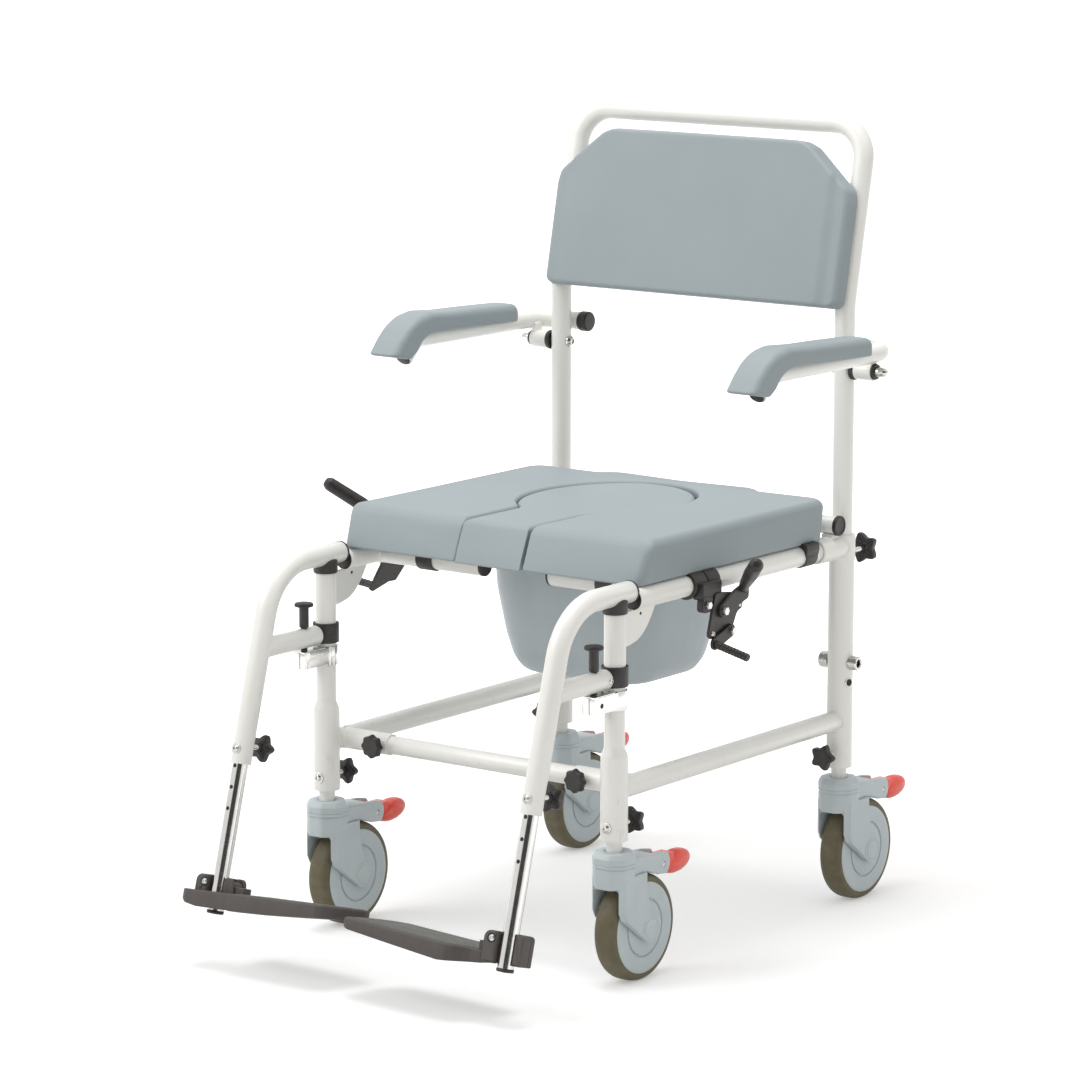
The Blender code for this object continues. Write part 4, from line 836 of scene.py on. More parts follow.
for corner, sign, leg_y in (("front_right", 1, front_y), ("front_left", -1, front_y),
                            ("rear_right", 1, rear_y), ("rear_left", -1, rear_y)):
    spot = (sign * frame_x, leg_y, 0.0)
    insert = drawn([(*spot[:2], 0.1356), (*spot[:2], 0.2580)], 0.0095, (1, 0, 0), bore=0.0080)
    piece(f"leg_insert_{corner}", [insert], white, f"insert_{corner}", f"leg_insert_{corner}")
    piece(f"caster_fork_{corner}", moved(fork_shells(), spot), grey_nylon, f"fork_{corner}", f"caster_fork_{corner}",
          crease=32.0)
    axle = [turned([(0, -0.0179), (0.0040, -0.0179), (0.0040, 0.0179), (0, 0.0179)], (0, hub_y, 0.0625), (1, 0, 0), 24)]
    for way in (1.0, -1.0):
        axle.append(button_head((way * 0.0157, 0.0765, 0.1300), (way, 0, 0), 0.0026, 0.0010))
    piece(f"caster_pins_{corner}", moved(axle, spot), plated, f"fork_{corner}")
    # Dark patches of painted shade stand in for the shade inside the slots in the fork's ears.
    slot = []
    for way in (1.0, -1.0):
        slot.append(plate(rounded([(0.0690, 0.1265), (0.0800, 0.1265), (0.0800, 0.1335), (0.0690, 0.1335)],
                                  0.0029, 4, closed=True), way * 0.0148, way * 0.01575, side_view, 0.0002))
    piece(f"caster_slot_shade_{corner}", moved(slot, spot), hole_shade_paint, f"fork_{corner}")
    centre = (spot[0], leg_y + hub_y, 0.0625)
    piece(f"caster_tyre_{corner}", [turned(tyre_profile, centre, (1, 0, 0), 96, ends="ring")], rubber_olive,
          f"wheel_{corner}", f"caster_wheel_{corner}")
    piece(f"caster_disc_{corner}", [turned(disc_profile, centre, (1, 0, 0), 96)], grey_nylon, f"wheel_{corner}")
    pedal = [
        pillowed(pedal_outline, (0.1160, 0.1240), 0.0130),
        plate(tongue_outline, -0.0093, 0.0093, side_view, 0.0008),
    ]
    piece(f"caster_pedal_{corner}", moved(pedal, spot), coral, f"pedal_{corner}", f"caster_pedal_{corner}")


# Back. One bent tube makes both uprights and the top bar; it drops into the rear legs and leans back above
# the arms. A moulded foam cushion on a plastic board is screwed to it from behind.

def foam_skin():
    """Integral-skin polyurethane foam, blue-grey: a matt, faintly leathery skin with soft mould clouding."""
    skin = Finish("foam_skin", "cushion", (157, 167, 171), 0.52, fixed={"Specular IOR Level": 0.42})
    cloud = skin.noise(14.0, 3.0)
    pores = skin.cells(1100.0)
    skin.tint(skin.blend(cloud.between(0.30, 0.72), linear(155, 165, 169), linear(159, 169, 173)))
    skin.gloss(0.46 + cloud * 0.10 + pores * 0.06)
    skin.relief(pores * 0.6 + skin.noise(420.0, 3.0) * 0.7, 0.00012, 0.30)
    return skin


foam = foam_skin()
lean = radians(12.0)
knee_z = 0.735
rise = 0.947 - knee_z
back_top_y = rear_y + rise * tan(lean)
back_corners = [(frame_x, rear_y, 0.335), (frame_x, rear_y, knee_z), (frame_x, back_top_y, 0.947),
                (-frame_x, back_top_y, 0.947), (-frame_x, rear_y, knee_z), (-frame_x, rear_y, 0.335)]
back_route = rounded(back_corners, (0, 0.10, 0.045, 0.045, 0.10, 0), 14)
piece("back_frame", [drawn(back_route, 0.0125, (0, -1, 0), 36)], white, "back", "back_frame")


def cushion(corners, left_edge, right_edge, low_radius, crown=0.0, draw_in=(0.0, 0.0, 0.0, 0.0), across=18):
    """Foam carried along four corner lines: low left, low right, high left and high right. Each section is
    (1-a)(1-b) LL + a(1-b) LR + (1-a)b HL + ab HR, where a and b go round a box whose corners are eased, and
    the top rises by crown * 4a(1-a). The four draw-ins, for left, right, top and underside, shrink a section
    towards the closed ends."""
    low_left, low_right, high_left, high_right = (np.asarray(line, float) for line in corners)
    low_width = np.linalg.norm(low_right - low_left, axis=1)[:, None]
    high_width = np.linalg.norm(high_right - high_left, axis=1)[:, None]
    depth = np.linalg.norm(high_left - low_left, axis=1)[:, None]
    blank = np.ones_like(depth)
    quarter = np.radians(np.linspace(0, 90, 5))
    low_in, low_up = low_radius * (1 - np.cos(quarter)), low_radius * (1 - np.sin(quarter))
    share = np.linspace(0, 1, across)[1:-1]
    side_share = np.linspace(0, 1, 5)[1:-1]
    left_in, left_down = np.asarray(left_edge, float).T
    right_in, right_down = np.asarray(right_edge, float).T
    left_side = low_radius / depth + side_share * (1 - (left_down[0] + low_radius) / depth)
    right_side = low_radius / depth + side_share * (1 - (right_down[0] + low_radius) / depth)
    top_a = (left_in[-1] + share * (high_width - left_in[-1] - right_in[-1])) / high_width
    low_a = (low_radius + share * (low_width - 2 * low_radius)) / low_width
    flat_side = 0 * side_share * blank
    a = np.hstack([flat_side, left_in / high_width, top_a, 1 - right_in[::-1] / high_width,
                   1 + flat_side, 1 - low_in / low_width, low_a[:, ::-1], low_in[::-1] / low_width])
    b = np.hstack([left_side, 1 - left_down / depth, 1 + 0 * top_a, 1 - right_down[::-1] / depth,
                   right_side[:, ::-1], low_up / depth, 0 * low_a, low_up[::-1] / depth])
    left_draw, right_draw, top_draw, low_draw = (np.asarray(part) * blank[:, 0] for part in draw_in)
    width = (1 - b) * low_width + b * high_width
    b = b + crown * 4 * a * (1 - a) * b ** 4 / depth
    a = (left_draw[:, None] + a * (width - (left_draw + right_draw)[:, None])) / width
    b = (low_draw[:, None] + b * (depth - (top_draw + low_draw)[:, None])) / depth
    a, b = a[..., None], b[..., None]
    rows = ((1 - a) * (1 - b) * low_left[:, None] + a * (1 - b) * low_right[:, None]
            + (1 - a) * b * high_left[:, None] + a * b * high_right[:, None])
    return shell(rows)


def round_edge(radius, steps=7):
    """A quarter circle from the side of a pad up to its top, as (inward, down) offsets."""
    quarter = np.radians(np.linspace(0, 90, steps))
    return radius * np.stack([1 - np.cos(quarter), 1 - np.sin(quarter)], -1)


def eased(distance, radius):
    """How far an edge of a radius has drawn in at a distance from the end: r - sqrt(r^2 - (r - d)^2)."""
    left = np.clip(radius - distance, 0.0, radius)
    return radius - np.sqrt(radius ** 2 - left ** 2)


def stations(length, first, last, count):
    """Distances along a pad, crowded by 1 - cos t where its two ends are rounded."""
    turn = np.radians(np.linspace(0, 90, 8))
    return np.concatenate([first * (1 - np.cos(turn)), np.linspace(first, length - last, count)[1:-1],
                           length - last * (1 - np.cos(turn))[::-1]])


pad_up = np.array((0.0, sin(lean), cos(lean)))
pad_forward = np.array((0.0, -cos(lean), sin(lean)))
pad_origin = np.array((0.0, rear_y, knee_z))
half_outline = rounded(
    [(0.188, -0.0070), (0.2050, -0.0070), (0.2130, -0.0010), (0.2130, 0.1190), (0.2100, 0.1345), (0.1520, 0.1835),
     (0.1360, 0.1900), (0.070, 0.1905)], (0, 0.004, 0.008, 0.03, 0.014, 0.020, 0.02, 0), 8)
pad_bottom, pad_tall, pad_draft = -0.0070, 0.1975, 0.0075
pad_heights = pad_bottom + stations(pad_tall, 0.0050, 0.0050, 90)
pad_half = np.interp(pad_heights, half_outline[:, 1], half_outline[:, 0])
pad_thick = (0.0150, 0.0338)


def pad_line(sign, forward):
    """A side line of the back cushion; the rear lines stand wider by the draft."""
    half = pad_half + pad_draft * (forward < 0.02)
    return (pad_origin + sign * half[:, None] * np.array((1.0, 0, 0)) + pad_heights[:, None] * pad_up
            + forward * pad_forward)


rim_edge = round_edge(0.0055, 8)
back_points, back_quads, back_caps = cushion(
    [pad_line(-1, pad_thick[0]), pad_line(1, pad_thick[0]), pad_line(-1, pad_thick[1]), pad_line(1, pad_thick[1])],
    rim_edge, rim_edge, 0.0030, crown=0.0004, across=70)
pad_depth_at = (back_points - pad_origin) @ pad_forward
pad_height_at = (back_points - pad_origin) @ pad_up
end_ease = eased(pad_height_at - pad_bottom, 0.0050) + eased(pad_bottom + pad_tall - pad_height_at, 0.0050)
strip = np.clip((np.abs(back_points[:, 0]) - 0.1880) / 0.0070, 0.0, 1.0)
end_ease += 0.0030 * strip ** 2 * (3 - 2 * strip)
front_share = np.clip((pad_depth_at - 0.0185) / 0.012, 0.0, 1.0)
back_points = back_points - (end_ease * front_share)[:, None] * pad_forward
back_pad = piece("back_pad", [(back_points, back_quads, back_caps)], foam, "back", "back_pad", crease=60.0)

pad_place = (pad_origin, np.array(((1.0, 0.0, 0.0), pad_up, pad_forward)))
board_outline = inset(np.concatenate([half_outline, half_outline[::-1] * (-1.0, 1.0)]), 0.0035)
board_outline = board_outline[:-1]
piece("back_board", [plate(board_outline, 0.0130, 0.0156, pad_place, 0.0006)], black, "back")
screws = []
for sign in (1.0, -1.0):
    for height in (0.030, 0.118):
        spot = pad_origin + np.array((sign * frame_x, 0, 0)) + height * pad_up - 0.0122 * pad_forward
        screws.append(button_head(spot, -pad_forward, 0.0050, 0.0028))
    screws.append(turned([(0, 0), (0.0050, 0), (0.0050, 0.0630), (0, 0.0630)],
                         (sign * 0.1940, rear_y, 0.6585), (sign, 0, 0), 24))
    screws.append(button_head((sign * 0.1979, rear_y, 0.6585), (-sign, 0, 0), 0.0068, 0.0052))
    nut = rounded([(0, 0), (0.0062, 0), (0.0062, 0.0045), (0.0056, 0.0065), (0.0050, 0.0110), (0.0024, 0.0146),
                   (0, 0.0150)], (0, 0, 0.0004, 0.001, 0.004, 0.003, 0), 4)
    screws.append(turned(nut, (sign * 0.2566, rear_y, 0.6585), (sign, 0, 0), 36))
piece("back_bolts", screws, plated, "back")


# Arms. Each arm is one tube: a cross part behind the upright, a pivot sleeve on the upright's bolt, and a
# straight run bent down at its front end. A foam pad wraps the run; black bushings and plugs finish the ends.

arm_tip = np.array((0.258, 0.050, 0.6815)) + 0.0325 * np.array((0.0, -cos(radians(42)), -sin(radians(42))))
arm_drop = np.array((0.0, -cos(radians(42)), -sin(radians(42))))
arm_route = rounded([(0.1930, 0.308, 0.6815), (0.258, 0.308, 0.6815), (0.258, 0.050, 0.6815), arm_tip],
                    (0, 0.030, 0.022, 0), 12)


def spread(line, shares):
    """Points of a polyline at the given shares of its length."""
    line = np.asarray(line, float)
    lengths = np.concatenate([[0.0], np.cumsum(np.linalg.norm(np.diff(line, axis=0), axis=1))])
    return np.stack([np.interp(np.asarray(shares) * lengths[-1], lengths, part) for part in line.T], -1)


pad_top = [(0.2340, 0.7062), (0.1620, 0.7090), (0.1030, 0.7106), (0.0600, 0.7136), (0.0350, 0.7092),
           (0.0160, 0.6994), (0.0010, 0.6860), (-0.0155, 0.6670)]
pad_low = [(0.2340, 0.6850), (0.1630, 0.6870), (0.1030, 0.6896), (0.0740, 0.6910), (0.0560, 0.6880),
           (0.0420, 0.6820), (0.0300, 0.6690), (0.0170, 0.6610)]
top_line = rounded(pad_top, (0, 0.05, 0.05, 0.045, 0.05, 0.05, 0.05, 0), 6)
low_line = rounded(pad_low, (0, 0.05, 0.05, 0.03, 0.03, 0.03, 0.02, 0), 6)
run = stations(0.290, 0.0050, 0.0060, 70)
pad_profile = {}
for name, line, bend_y in (("top", top_line, 0.0560), ("low", low_line, 0.0700)):
    before = line[line[:, 0] > bend_y]
    after = line[line[:, 0] <= bend_y]
    joint = before[-1:]
    first = spread(before, run[run <= 0.180] / 0.180)
    second = spread(np.concatenate([joint, after]), (run[run > 0.180] - 0.180) / 0.110)
    pad_profile[name] = np.concatenate([first, second])
arm_pad_draw = eased(run, 0.0045) + eased(0.290 - run, 0.0055)


def arm_pad_line(x, which):
    line = pad_profile[which]
    return np.stack([np.full(len(line), x), line[:, 0], line[:, 1]], -1)


for side, sign in sides_of_chair:
    sleeve = rounded([(0.0056, 0.0), (0.0110, 0.0), (0.0110, 0.0240), (0.0056, 0.0240)], 0.0005, 3, closed=True)
    arm = [
        drawn(arm_route, 0.011, (0, 0, 1), 32),
        turned(sleeve, (0.2285, rear_y, 0.6585), (1, 0, 0), ends="ring"),
        block((0.2440, 0.2780, 0.6650), (0.2520, 0.2900, 0.6790), 0.0015),
    ]
    piece(f"arm_tube_{side}", mirrored(arm, sign), white, f"arm_{side}", f"arm_tube_{side}")
    bush = rounded([(0.0056, 0.0), (0.0112, 0.0), (0.0121, 0.0016), (0.0121, 0.0058), (0.0056, 0.0058)],
                   (0, 0, 0.0008, 0.0004, 0), 3)
    ring = rounded([(0.0056, 0.0), (0.0100, 0.0), (0.0092, 0.0038), (0.0056, 0.0038)], 0.0005, 3, closed=True)
    end_cap = rounded([(0, -0.0030), (0.0116, -0.0030), (0.0124, -0.0015), (0.0124, 0.0085), (0.0108, 0.0102),
                       (0, 0.0102)], (0, 0.0004, 0.0008, 0.0012, 0.0008, 0), 3)
    tip_cap = rounded([(0, -0.0010), (0.0090, -0.0010), (0.0092, 0.0020), (0, 0.0026)], (0, 0, 0.0010, 0), 3)
    blacks = [
        turned(bush, (0.2284, rear_y, 0.6585), (-1, 0, 0), ends="ring"),
        turned(ring, (0.2526, rear_y, 0.6585), (1, 0, 0), ends="ring"),
        turned(end_cap, (0.1935, 0.308, 0.6815), (-1, 0, 0)),
        turned(tip_cap, arm_tip, arm_drop),
    ]
    piece(f"arm_bushings_{side}", mirrored(blacks, sign), black, f"arm_{side}")
    pad = cushion([arm_pad_line(0.2384, "low"), arm_pad_line(0.2826, "low"),
                   arm_pad_line(0.2384, "top"), arm_pad_line(0.2826, "top")],
                  round_edge(0.0090), round_edge(0.0090), 0.0030, crown=0.0008,
                  draw_in=(arm_pad_draw, arm_pad_draw, arm_pad_draw, arm_pad_draw * 0.5))
    pad = piece(f"arm_pad_{side}", mirrored([pad], sign), foam, f"arm_{side}", f"arm_pad_{side}", crease=60.0)


# Pan and its carrier. Two painted straps lie across the seat rails and carry a runner on each side; the deep
# polypropylene pan hangs between them by its flange and slides out to the back.

def pan_polypropylene():
    """Pale blue-grey polypropylene, satin, with faint flow marks down its sides."""
    plastic = Finish("pan_polypropylene", "pan_plastic", (186, 197, 202), 0.32)
    flow = plastic.noise(26.0, 3.0, (1.0, 1.0, 0.2))
    plastic.tint(plastic.blend(flow.between(0.3, 0.7), linear(183, 194, 199), linear(190, 201, 205)))
    plastic.gloss(0.32 + flow * 0.12)
    plastic.relief(plastic.noise(800.0, 2.0), 0.00006, 0.2)
    return plastic


carrier = []
for strap_y in (0.0040, 0.2030):
    carrier.append(block((-0.210, strap_y, 0.4568), (0.210, strap_y + 0.020, 0.4598), 0.0008))
for sign in (1.0, -1.0):
    low, high = sorted((sign * 0.1312, sign * 0.1335))
    carrier.append(block((low, -0.0200, 0.4465), (high, 0.2320, 0.4588), 0.0006))
    low, high = sorted((sign * 0.1240, sign * 0.1330))
    carrier.append(block((low, -0.0200, 0.4465), (high, 0.2320, 0.4486), 0.0006))
piece("pan_carrier", carrier, white, "frame", "pan_carrier")

pan_centre_y = 0.097
pan_sections = rounded(
    [(0.0640, 0.0490, 0.020, 0.2958), (0.0780, 0.0630, 0.030, 0.2950), (0.0900, 0.0750, 0.038, 0.2985),
     (0.1010, 0.0860, 0.045, 0.3130), (0.1100, 0.0950, 0.052, 0.3450), (0.1195, 0.1045, 0.058, 0.4000),
     (0.1222, 0.1070, 0.060, 0.4490), (0.1290, 0.1135, 0.064, 0.4491), (0.1290, 0.1135, 0.064, 0.4520),
     (0.1198, 0.1046, 0.058, 0.4520), (0.1170, 0.1020, 0.056, 0.4000), (0.1075, 0.0925, 0.050, 0.3450),
     (0.0980, 0.0830, 0.043, 0.3150), (0.0880, 0.0730, 0.036, 0.3025), (0.0760, 0.0610, 0.028, 0.2985),
     (0.0620, 0.0470, 0.018, 0.2990)],
    (0, 0.01, 0.03, 0.06, 0.10, 0.10, 0.003, 0.0006, 0.0008, 0.002, 0.10, 0.10, 0.06, 0.03, 0.01, 0), 5)


def rounded_box_rings(sections, steps=9):
    """Rounded rectangles: each corner is (half size - radius) along its own signs plus radius * (cos t, sin t)."""
    half_x, half_y, radius, height = (part[:, None] for part in np.asarray(sections).T)
    quarter = np.radians(np.linspace(0, 90, steps + 1))
    parts = []
    for number, (sign_x, sign_y) in enumerate(((1, 1), (-1, 1), (-1, -1), (1, -1))):
        angle = quarter + number * pi / 2
        x = sign_x * (half_x - radius) + radius * np.cos(angle)
        y = sign_y * (half_y - radius) + radius * np.sin(angle)
        parts.append(np.stack([x, pan_centre_y + y, height + 0 * x], -1))
    return np.concatenate(parts, axis=1)


piece("pan", [shell(rounded_box_rings(pan_sections))], pan_polypropylene(), "pan_tub", "pan")


# Seat. A horseshoe cushion of the same moulded foam, open at the front, sits on the rails in its clips; its
# front slopes back and a tongue at the rear lies over the cross tube. A keyhole insert fills the opening.

def half_line(parts):
    """Joins the four stretches of a line, each with its own spacing of points."""
    lines = [spread(part, shares)[1:] for part, shares in zip(parts, stretch_shares)]
    return np.concatenate([np.asarray(parts[0], float)[:1]] + lines)


front_ease = 0.12 * (1 - np.cos(np.radians(np.linspace(0, 90, 8))))
stretch_shares = (np.concatenate([front_ease, np.linspace(0.12, 1, 22)[1:]]), np.linspace(0, 1, 34),
                  np.linspace(0, 1, 16), np.linspace(0, 1, 30))
keyhole_middle_y = 0.0925


def oval(start, stop, steps=24):
    angle = np.radians(np.linspace(start, stop, steps + 1))
    return np.stack([0.0985 * np.cos(angle), keyhole_middle_y + 0.1275 * np.sin(angle)], -1)


def corner_arc(x, y, start, stop, radius=0.017):
    return arc_points((x - radius, y - radius), radius, start, stop, 8).tolist()


outer_low = half_line([
    [(0.2164, -0.1455), (0.2164, -0.0350)],
    [(0.2164, -0.0350)] + corner_arc(0.2164, 0.2380, 0, 45),
    corner_arc(0.2164, 0.2380, 45, 90) + [(0.1340, 0.2400)],
    [(0.1340, 0.2400), (0.0, 0.2400)]])
tail = rounded([(0.1340, 0.2400), (0.1262, 0.2412), (0.1140, 0.2520), (0.1040, 0.2580), (0.0, 0.2575)],
               (0, 0.008, 0.012, 0.012, 0), 6)
outer_high = half_line([
    [(0.2204, -0.1255), (0.2204, -0.0350)],
    [(0.2204, -0.0350)] + corner_arc(0.2204, 0.2400, 0, 45),
    corner_arc(0.2204, 0.2400, 45, 90) + [(0.1340, 0.2400)],
    tail])
throat = rounded([(0.0490, -0.0600), (0.0490, -0.0180), oval(-44, -44, 1)[0]], (0, 0.030, 0), 10)
throat = throat[throat[:, 1] > -0.0349]
mouth = np.concatenate([[(0.0490, -0.0350)], throat[:-1], oval(-44, 33)])
inner_low = half_line([[(0.0490, -0.1455), (0.0490, -0.0350)], mouth, oval(33, 55), oval(55, 90)])
inner_high = half_line([[(0.0490, -0.1255), (0.0490, -0.0350)], mouth, oval(33, 55), oval(55, 90)])


def whole_line(half, z):
    """The right half from the front round to the back, then the left half back to the front."""
    line = np.concatenate([half, half[-2::-1] * (-1.0, 1.0)])
    return np.concatenate([line, np.full((len(line), 1), z)], axis=1)


from_front = np.abs(outer_low[:, 1] + 0.1455)
from_front = np.where(outer_low[:, 0] > 0.2, from_front, 1.0)
from_front = np.concatenate([from_front, from_front[-2::-1]])
seat_low_z, seat_high_z = 0.4575, 0.508
seat_points, seat_quads, seat_caps = cushion(
    [whole_line(outer_low, seat_low_z), whole_line(inner_low, seat_low_z),
     whole_line(outer_high, seat_high_z), whole_line(inner_high, seat_high_z)],
    round_edge(0.0120, 9), round_edge(0.0042), 0.0035, crown=0.0,
    draw_in=(eased(from_front, 0.0120), eased(from_front, 0.0030), eased(from_front, 0.0115),
             eased(from_front, 0.0030)), across=30)
on_top = np.clip((seat_points[:, 2] - 0.480) / 0.026, 0.0, 1.0)
saddle = np.clip(1.0 - np.abs(seat_points[:, 0]) / 0.215, 0.0, 1.0)
seat_points[:, 2] -= on_top * 0.0012 * saddle
seat = piece("seat_pad", [(seat_points, seat_quads, seat_caps)], foam, "seat", "seat_pad", crease=60.0)


def lidded(outline, core, low, high, low_radius, top_radius, rings=14):
    """A closed pad over an outline: its rings come in along the underside, go up the side, draw in round the
    top edge and run to the core line, p = rim + s * (core - rim)."""
    outline = np.asarray(outline, float)
    quarter = np.radians(np.linspace(0, 90, 7))
    rows = []
    low_rim = inset(outline, low_radius)
    top_rim = inset(outline, top_radius)
    for share in np.linspace(1, 0, 6):
        rows.append((low_rim + share * (core - low_rim), low))
    for turn in quarter[1:]:
        rows.append((inset(outline, low_radius * (1 - sin(turn))), low + low_radius * (1 - cos(turn))))
    for share in (0.25, 0.5, 0.75):
        rows.append((outline, low + low_radius + share * (high - top_radius - low - low_radius)))
    for turn in quarter[::-1]:
        rows.append((inset(outline, top_radius * (1 - sin(turn))), high - top_radius * (1 - cos(turn))))
    for share in np.linspace(0, 1, rings)[1:]:
        rows.append((top_rim + share * (core - top_rim), high))
    rows = np.stack([np.column_stack([flat, np.full(len(flat), z)]) for flat, z in rows])
    points, quads, _ = shell(rows)
    return points, quads, []


lid_gap = 0.0024
neck_y = np.concatenate([[-0.1455 - lid_gap], np.linspace(-0.1370, -0.0350, 34)])
neck = np.stack([np.full(35, 0.0490), neck_y], -1)
front_edge = np.stack([np.linspace(0.0, 0.0400, 11), np.full(11, -0.1455 - lid_gap)], -1)
lid_half = np.concatenate([front_edge, neck, throat[:-1], oval(-44, 90, 56)[:-1]])
lid_outline = np.concatenate([lid_half, [(0.0, keyhole_middle_y + 0.1275)], (lid_half[1:] * (-1.0, 1.0))[::-1]])
lid_outline = inset(lid_outline, lid_gap)
lid_core = np.stack([np.zeros(len(lid_outline)), np.clip(lid_outline[:, 1], -0.118, 0.150)], -1)
lid_points, lid_quads, lid_caps = lidded(lid_outline, lid_core, 0.4590, 0.5058, 0.0020, 0.0060)
x, y, z = lid_points.T
up_share = (z - 0.4590) / 0.0468
lid_points[:, 2] -= up_share * 0.0034 * np.clip((x + 0.03) / 0.12, 0, 1) * np.clip((y + 0.02) / 0.10, 0, 1)
lid_points[:, 1] += 0.0200 * up_share * np.clip((-0.095 - y) / 0.035, 0, 1)
lid_points[:, 0] -= 0.0014
lip = np.clip((-0.1300 - y) / 0.008, 0, 1) * np.clip((0.466 - z) / 0.004, 0, 1)
lid_points[:, 2] -= lip * 0.0025
lid = piece("seat_lid", [(lid_points, lid_quads, lid_caps)], foam, "lid", "seat_lid", crease=60.0)


# Footrest hangers. Each is a bent tube hooked on the front leg's spigot: a black cap on the leg's top, a
# collar lower down and a brace to it. A star knob at its foot clamps the footrest's chrome tube.

hanger_slope = 0.283


def hanger_y(z):
    """Where the hanger's sloping part is at a height."""
    return -0.342 + (z - 0.231) * hanger_slope


hanger_route = rounded([(frame_x, -0.157, 0.454), (frame_x, hanger_y(0.454), 0.454), (frame_x, -0.342, 0.231)],
                       (0, 0.075, 0), 16)
slope_way = unit((0.0, -hanger_slope, -1.0))

for side, sign in sides_of_chair:
    collar = rounded([(0.0129, 0.3500), (0.0157, 0.3500), (0.0157, 0.3735), (0.0129, 0.3735)], 0.0007, 3, closed=True)
    cap = rounded([(0.0083, 0.4334), (0.0143, 0.4334), (0.0145, 0.4350), (0.0145, 0.4475), (0.0120, 0.4500),
                   (0.0083, 0.4500)], (0, 0.0003, 0.0004, 0.0020, 0.0010, 0), 3)
    brace_end = rounded([(0, -0.0010), (0.0119, -0.0010), (0.0116, 0.0016), (0.0080, 0.0046), (0, 0.0056)],
                        (0, 0, 0.002, 0.003, 0), 3)
    hanger = [
        drawn(hanger_route, 0.0125, (1, 0, 0), 36, bore=0.0098),
        drawn([(frame_x, -0.2995, 0.3605), (frame_x, -0.2045, 0.3605)], 0.0119, (0, 0, 1), 32, ease=0.0003),
        turned(brace_end, (frame_x, -0.2045, 0.3605), (0, 1, 0), 32),
        weld_bead((frame_x, hanger_y(0.3605), 0.3605), (0, 1, 0), 0.0119, slope_way, 0.0125),
    ]
    piece(f"footrest_hanger_{side}", mirrored(hanger, sign), white, f"hanger_{side}", f"footrest_hanger_{side}")
    plug = rounded([(0, -0.0005), (0.0122, -0.0005), (0.0132, 0.0006), (0.0128, 0.0026), (0, 0.0032)],
                   (0, 0, 0.0006, 0.0010, 0), 3)
    blacks = [
        turned(collar, (frame_x, front_y, 0), (0, 0, 1), ends="ring"),
        turned(cap, (frame_x, front_y, 0), (0, 0, 1), ends="ring"),
        turned(plug, (frame_x, -0.157, 0.454), (0, 1, 0)),
    ]
    piece(f"hanger_collars_{side}", mirrored(blacks, sign), black, f"hanger_{side}")
    clamp_spot = np.array((frame_x, hanger_y(0.2470), 0.2470)) - 0.0123 * np.array((0, 0.9622, -0.2723))
    metal = [
        turned(rounded([(0, -0.001), (0.0062, -0.001), (0.0062, 0.0006), (0, 0.0006)], (0, 0, 0.0004, 0)),
               clamp_spot, (0, -0.9622, 0.2723)),
        button_head(clamp_spot - 0.0005 * np.array((0, 0.9622, -0.2723)), (0, -0.9622, 0.2723), 0.0044, 0.0026),
        button_head((frame_x + 0.0117, -0.2075, 0.3605), (1, 0, 0), 0.0034, 0.0018),
    ]
    piece(f"hanger_bolts_{side}", mirrored(metal, sign), plated, f"hanger_{side}")


# Footrest latches. A chrome strap bracket round each front leg carries a tongue; the black spring plunger on
# the hanger's brace drops through the tongue's hole and stops the footrest from swinging out.

def chrome_plate():
    """Chromed steel: nearly a mirror, with hairlines along the tube and faint fingerprint smears."""
    chrome = Finish("chrome_plate", "chrome", (214, 212, 208), 0.14, metallic=1.0)
    hair = chrome.noise(900.0, 2.0, (1.0, 1.0, 0.03))
    smear = chrome.noise(70.0, 3.0)
    chrome.tint(chrome.blend(smear, linear(205, 203, 199), linear(222, 221, 218)))
    chrome.gloss(0.10 + hair * 0.08 + smear * 0.05)
    chrome.relief(hair, 0.00003, 0.15)
    return chrome


bright = chrome_plate()

